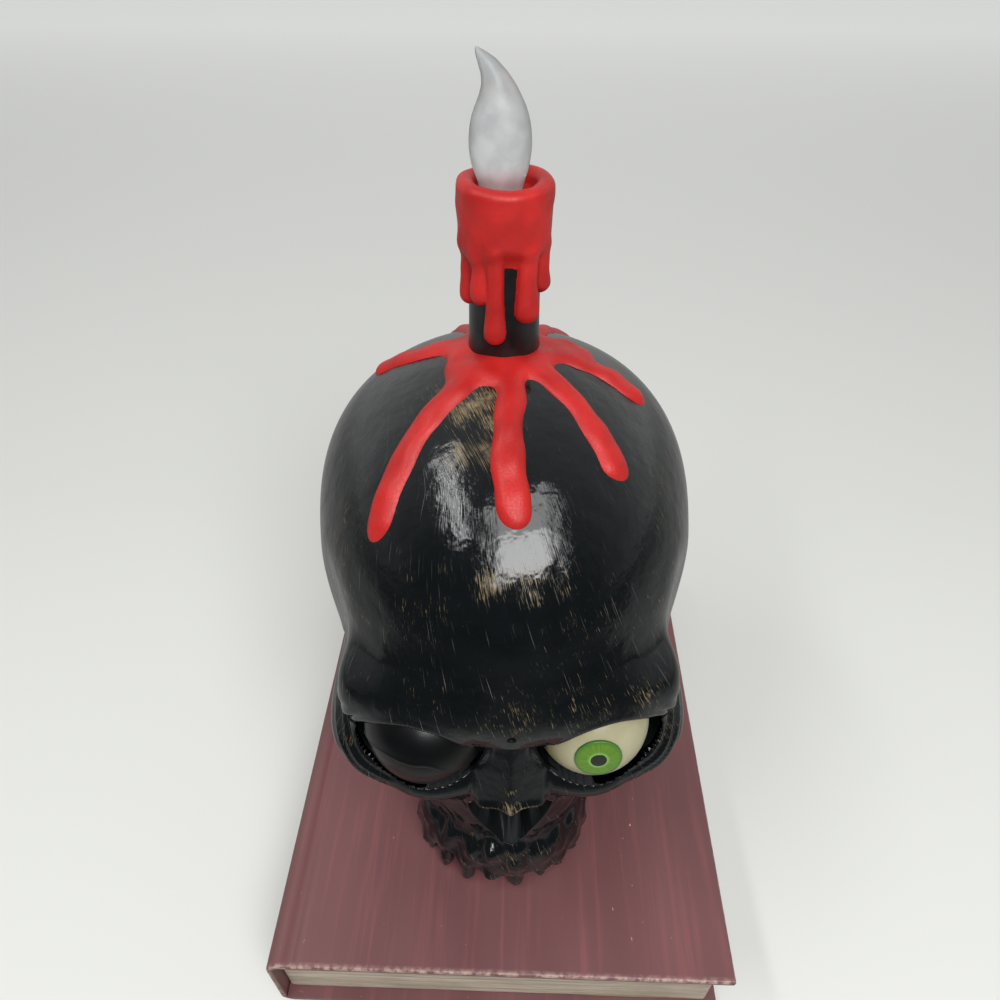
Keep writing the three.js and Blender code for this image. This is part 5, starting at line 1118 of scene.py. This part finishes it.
# Book
def book_cover():
    """The upper board, hinge groove and spine: one profile in x and z, carried along the book.

    The outer line and the inner line run side by side, so the two end faces are strips between
    them. Close to each end the outer line draws in, which rounds the edge.
    """
    left, right = BOOK_LOW[0], BOOK_HIGH[0]
    low, top = BOOK_LOW[2], BOOK_TOP
    quarter = np.linspace(0, np.pi / 2, 10)
    half = np.linspace(0, np.pi, 9)[1:-1]
    turn_x, turn_z = left + SPINE_ROUND, top - SPINE_ROUND
    groove = turn_x + 3.5
    edge = BOARD_EDGE
    outer = np.concatenate([
        [(right - edge * 0.3, top - COVER)],
        points_of(right - edge + edge * np.cos(quarter), top - edge + edge * np.sin(quarter)),
        points_of(np.linspace(right - 8, groove + 4, 24), top),
        points_of(groove + 2.2 * np.cos(half), top - 0.75 * np.sin(half)),
        points_of(turn_x - SPINE_ROUND * np.sin(quarter), turn_z + SPINE_ROUND * np.cos(quarter)),
        points_of(left, np.linspace(turn_z - 2, low, 9)),
    ])
    steps = len(outer)
    x, z = outer.T
    share = (SPINE_ROUND - COVER) / np.maximum(np.hypot(x - turn_x, z - turn_z), 1e-6)
    bend = (x < turn_x) & (z > turn_z)
    inner_x = np.where(bend, turn_x + (x - turn_x) * share, np.clip(x, left + COVER, right - edge))
    inner_z = np.where(bend, turn_z + (z - turn_z) * share, top - COVER)
    inner_z = np.where(z <= turn_z, z, inner_z)
    inner_z[0] = top - COVER
    inner = points_of(inner_x, inner_z)
    ends = np.array([0, 0.3, 0.9, 2.2])
    y = np.concatenate([BOOK_LOW[1] + ends, np.linspace(BOOK_LOW[1] + 6, BOOK_HIGH[1] - 6, 40),
                        (BOOK_HIGH[1] - ends)[::-1]])
    near = np.minimum(y - BOOK_LOW[1], BOOK_HIGH[1] - y)
    shrink = edge * (1 - np.sqrt(1 - (1 - np.clip(near / edge, 0, 1)) ** 2))
    away = (outer - inner) / np.maximum(np.linalg.norm(outer - inner, axis=-1, keepdims=True), 1e-6)
    rows = []
    for station, draw in zip(y, shrink):
        line = np.concatenate([outer - away * draw, inner[::-1]])
        rows.append(points_of(line[:, 0], station, line[:, 1]))
    rows = np.stack(rows)
    width = rows.shape[1]
    faces = [grid_faces(len(rows), width)]
    i = np.arange(steps - 1)
    for row in (0, len(rows) - 1):
        quad = row * width + points_of(i, i + 1, width - 2 - i, width - 1 - i)
        faces.append(quad[:, ::-1] if row == 0 else quad)
    # worn at both ends, and a little along the edge of the board
    worn_end = np.array([0.45, 0.45, 0.2, 0.0])[:, None]
    wear = np.zeros(rows.shape[:2])
    wear[:4], wear[-4:] = worn_end, worn_end[::-1]
    wear[:, :8] = np.maximum(wear[:, :8], 0.25)
    wear[:, steps:] = 0
    return lay_mesh("book_cover", rows.reshape(-1, 3), faces, {"wear": wear.ravel()})


dress(book_cover(), cover_finish, "ornament", "book_cover", "book_upper_shell")

SLOT_CRISP = 0.04  # the skin steps in within this distance of the slot's edge, on both sides


def page_block():
    """The page edges: a wall round the block, grooved by lines that wander a little.

    One parameter goes round the block, the other up its outside and back down inside. The switch
    lies in a slot as deep as the wall.
    """
    x0, x1 = BOOK_LOW[0] + COVER + 0.3, BOOK_HIGH[0] - PAGE_INSET
    y0, y1 = BOOK_LOW[1] + PAGE_INSET, BOOK_HIGH[1] - PAGE_INSET
    low, top = BOOK_LOW[2], BOOK_TOP - COVER
    knob_low, knob_high = node_box("power_switch")
    slot_x = np.array([knob_low[0] - 0.5, knob_high[0] + 4.5])
    slot_z = np.array([knob_low[2] - 0.5, knob_high[2] + 0.5])
    crisp = np.array([-SLOT_CRISP, SLOT_CRISP])[:, None]
    x = np.unique([*np.linspace(x0 + 1, x1 - 1, count(90)), *(slot_x + crisp).ravel()])
    z = np.unique([*np.linspace(low, top, count(110)), *(slot_z + crisp).ravel()])[:, None]
    y = np.linspace(y0 + 1, y1 - 1, count(110))
    walls = [
        (points_of(x, y0), (0, -1)), (points_of(x1, y), (1, 0)),
        (points_of(x[::-1], y1), (0, 1)), (points_of(x0, y[::-1]), (-1, 0)),
    ]
    ring = np.concatenate([line for line, _ in walls])
    away = np.concatenate([np.tile(way, (len(line), 1)) for line, way in walls]).astype(float)
    along = np.concatenate([[0], np.cumsum(np.linalg.norm(np.diff(ring, axis=0), axis=1))])[None]
    wander = 0.5 * np.sin(along / 31) + 0.35 * np.sin(along / 13 + z / 9)
    phase = (z - low + wander) / LINE_PITCH
    groove = bell(np.abs((phase + 0.5) % 1 - 0.5) * LINE_PITCH, 0, 0.45)
    fine = 0.5 + 0.5 * np.sin(2 * np.pi * (phase * 4 + 0.2 * np.sin(along / 19)))
    depth = LINE_DEPTH * groove + 0.16 * fine
    skin = points_of(*(ring[:, k] - away[:, k] * depth for k in (0, 1)), z)
    behind = (away[:, 1] > 0) & (ring[:, 0] > slot_x[0]) & (ring[:, 0] < slot_x[1])
    slot = behind[None] & (z > slot_z[0]) & (z < slot_z[1])
    skin[..., 1] = np.where(slot, y1 - PAGE_WALL, skin[..., 1])
    inner = ring - away * PAGE_WALL
    rows = np.concatenate([skin, [points_of(*inner.T, h) for h in (top, low)]])
    dark = np.concatenate([np.clip(groove + 0.35 * fine, 0, 1), np.zeros((2, len(ring)))])
    faces = [grid_faces(len(rows), len(ring), loop=True)]
    return lay_mesh("page_block", rows.reshape(-1, 3), faces, {"groove": dark.ravel()})


dress(page_block(), page_finish, "ornament", "book_cover", "book_upper_shell")

# Finishes of the solids that keep their shape: each node whose name starts with one of the words
KEPT = {
    cover_finish: ("book_lower_cover", "battery_door"),
    cream_finish: ("eyeball",),
    grey_finish: ("eye_frame", "gearbox", "lid_coil", "speaker"),
    white_finish: ("lid_crank", "link_bar", "drive_lever"),
    switch_finish: ("switch_body", "power_switch", "forehead_sensor"),
    foot_finish: ("foot_pad",),
    board_finish: ("circuit_board",),
    cell_finish: ("battery_1", "battery_2", "battery_3"),
    lens_finish: ("flame_light",),
    steel_finish: ("battery_contact", "battery_door_screw", "base_screw", "shell_screw",
                   "neck_screw", "frame_screw", "gearbox_screw", "eye_pin", "lid_plunger",
                   "drive_motor", "candle_nut"),
}
for material, starts in KEPT.items():
    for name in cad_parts:
        if name.startswith(starts):
            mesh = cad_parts[name].data
            mesh.materials.clear()
            mesh.materials.append(material)


# Studio: pale table, soft light, the photograph's camera
FLOOR_RADIUS = 5000
FLOOR_SPOKES = 96


def placed(axes, at):
    """The matrix that puts an object's own axes and origin here, in metres."""
    return Matrix(np.vstack([np.column_stack([*axes, at]), [0, 0, 0, 1]]).tolist())


def stage_floor():
    """A wide round table top, one ring of points joined to its middle.

    In its mirror images it is dimmer than the camera sees it, and dark in front of the picture,
    where the skull's brow mirrors it. Far behind it is a little paler.
    """
    ring = circle(FLOOR_RADIUS, turns(FLOOR_SPOKES), 0)
    c = np.arange(FLOOR_SPOKES)
    fan = points_of(c, (c + 1) % FLOOR_SPOKES, FLOOR_SPOKES)
    floor = lay_mesh("floor", np.vstack([ring, [0, 0, 0]]), [fan])
    coat = Finish("pale_table_top", Roughness=0.7, Emission_Color="#f2f4f2")
    along = coat.add("SeparateXYZ", {"Vector": coat.place()}).outputs["Y"]
    path = coat.add("LightPath").outputs
    mirrored = coat.mixed(coat.between(along, -0.36, -0.16), "#17181a", "#8d8e8b")
    seen = coat.calc("MAXIMUM", path["Is Camera Ray"], path["Is Glossy Ray"])
    seen = coat.calc("MAXIMUM", seen, path["Is Transmission Ray"])
    lift = coat.calc("MULTIPLY", seen, coat.between(along, 0.2, 2.0, 0.03, 0.42))
    coat.set(Base_Color=coat.mixed(path["Is Glossy Ray"], "#cfd0cc", mirrored),
             Emission_Strength=lift)
    floor.data.materials.append(coat.material)


def soft_box(name, azimuth, elevation, distance, width, height, power, lean=0):
    """An area lamp aimed at the head from a direction: azimuth from the face's side, and elevation.

    Its long side leans over to the left by the last angle.
    """
    a, e, tilt = np.radians([azimuth, elevation, lean])
    back = np.array([np.sin(a) * np.cos(e), -np.cos(a) * np.cos(e), np.sin(e)])
    aim = np.array([0, -0.03, 0.2])
    lamp = bpy.data.lights.new(name, "AREA")
    lamp.shape, lamp.size, lamp.size_y, lamp.energy = "RECTANGLE", width, height, power
    light = bpy.data.objects.new(name, lamp)
    side = np.cross([0, 0, 1], back)
    side /= np.linalg.norm(side)
    up = np.cross(back, side)
    c, s = np.cos(tilt), np.sin(tilt)
    light.matrix_world = placed((side * c + up * s, up * c - side * s, back), aim + back * distance)
    bpy.context.scene.collection.objects.link(light)


CAMERA_AT = np.array([3.7, -212.0, BOOK_TOP + 327.0])
CAMERA_DOWN = np.radians(41.6)
CAMERA_LEFT = np.radians(1.8)
CAMERA_LENS = 27.0
CAMERA_SENSOR = 36


def photo_camera():
    """The photograph's camera: close above the face, looking down on it."""
    c, s = np.cos(CAMERA_LEFT), np.sin(CAMERA_LEFT)
    ahead = np.array([-s * np.cos(CAMERA_DOWN), c * np.cos(CAMERA_DOWN), -np.sin(CAMERA_DOWN)])
    right = np.array([c, s, 0])
    camera = bpy.data.objects.new("photo_camera", bpy.data.cameras.new("photo_camera"))
    camera.data.lens = CAMERA_LENS
    camera.data.sensor_width = CAMERA_SENSOR
    camera.data.clip_start = 0.01
    camera.matrix_world = placed((right, np.cross(right, ahead), -ahead), CAMERA_AT * MM)
    bpy.context.scene.collection.objects.link(camera)
    bpy.context.scene.camera = camera


def studio_world():
    """Even pale light, dim in front of the face; the camera and clear plastic see a pale wall."""
    world = bpy.data.worlds.new("studio")
    bpy.context.scene.world = world
    world.use_nodes = True
    world.node_tree.nodes.clear()
    nodes = Nodes(world.node_tree)
    way = nodes.add("TexCoord").outputs["Generated"]
    level = nodes.between(nodes.add("SeparateXYZ", {"Vector": way}).outputs["Y"],
                          -0.55, 0.6, 0.06, 0.68)
    path = nodes.add("LightPath").outputs
    seen = nodes.calc("MAXIMUM", path["Is Camera Ray"], path["Is Transmission Ray"])
    even = nodes.add("Background", {"Color": "#ffffff", "Strength": level})
    wall = nodes.add("Background", {"Color": "#dcdddb", "Strength": 1.0})
    mix = nodes.add("MixShader", {0: seen, 1: even.outputs[0], 2: wall.outputs[0]})
    nodes.add("OutputWorld", {"Surface": mix.outputs[0]})


stage_floor()
photo_camera()
studio_world()
soft_box("window_left", -64, 53.8, 1.3, 0.13, 1.08, 6.5, lean=72)
soft_box("window_right", 19, 48.5, 1.3, 1.0, 0.95, 14.5)
soft_box("window_right_low", 15, 39.5, 1.25, 0.8, 0.42, 6.5)
bpy.context.scene.view_settings.view_transform = "Standard"
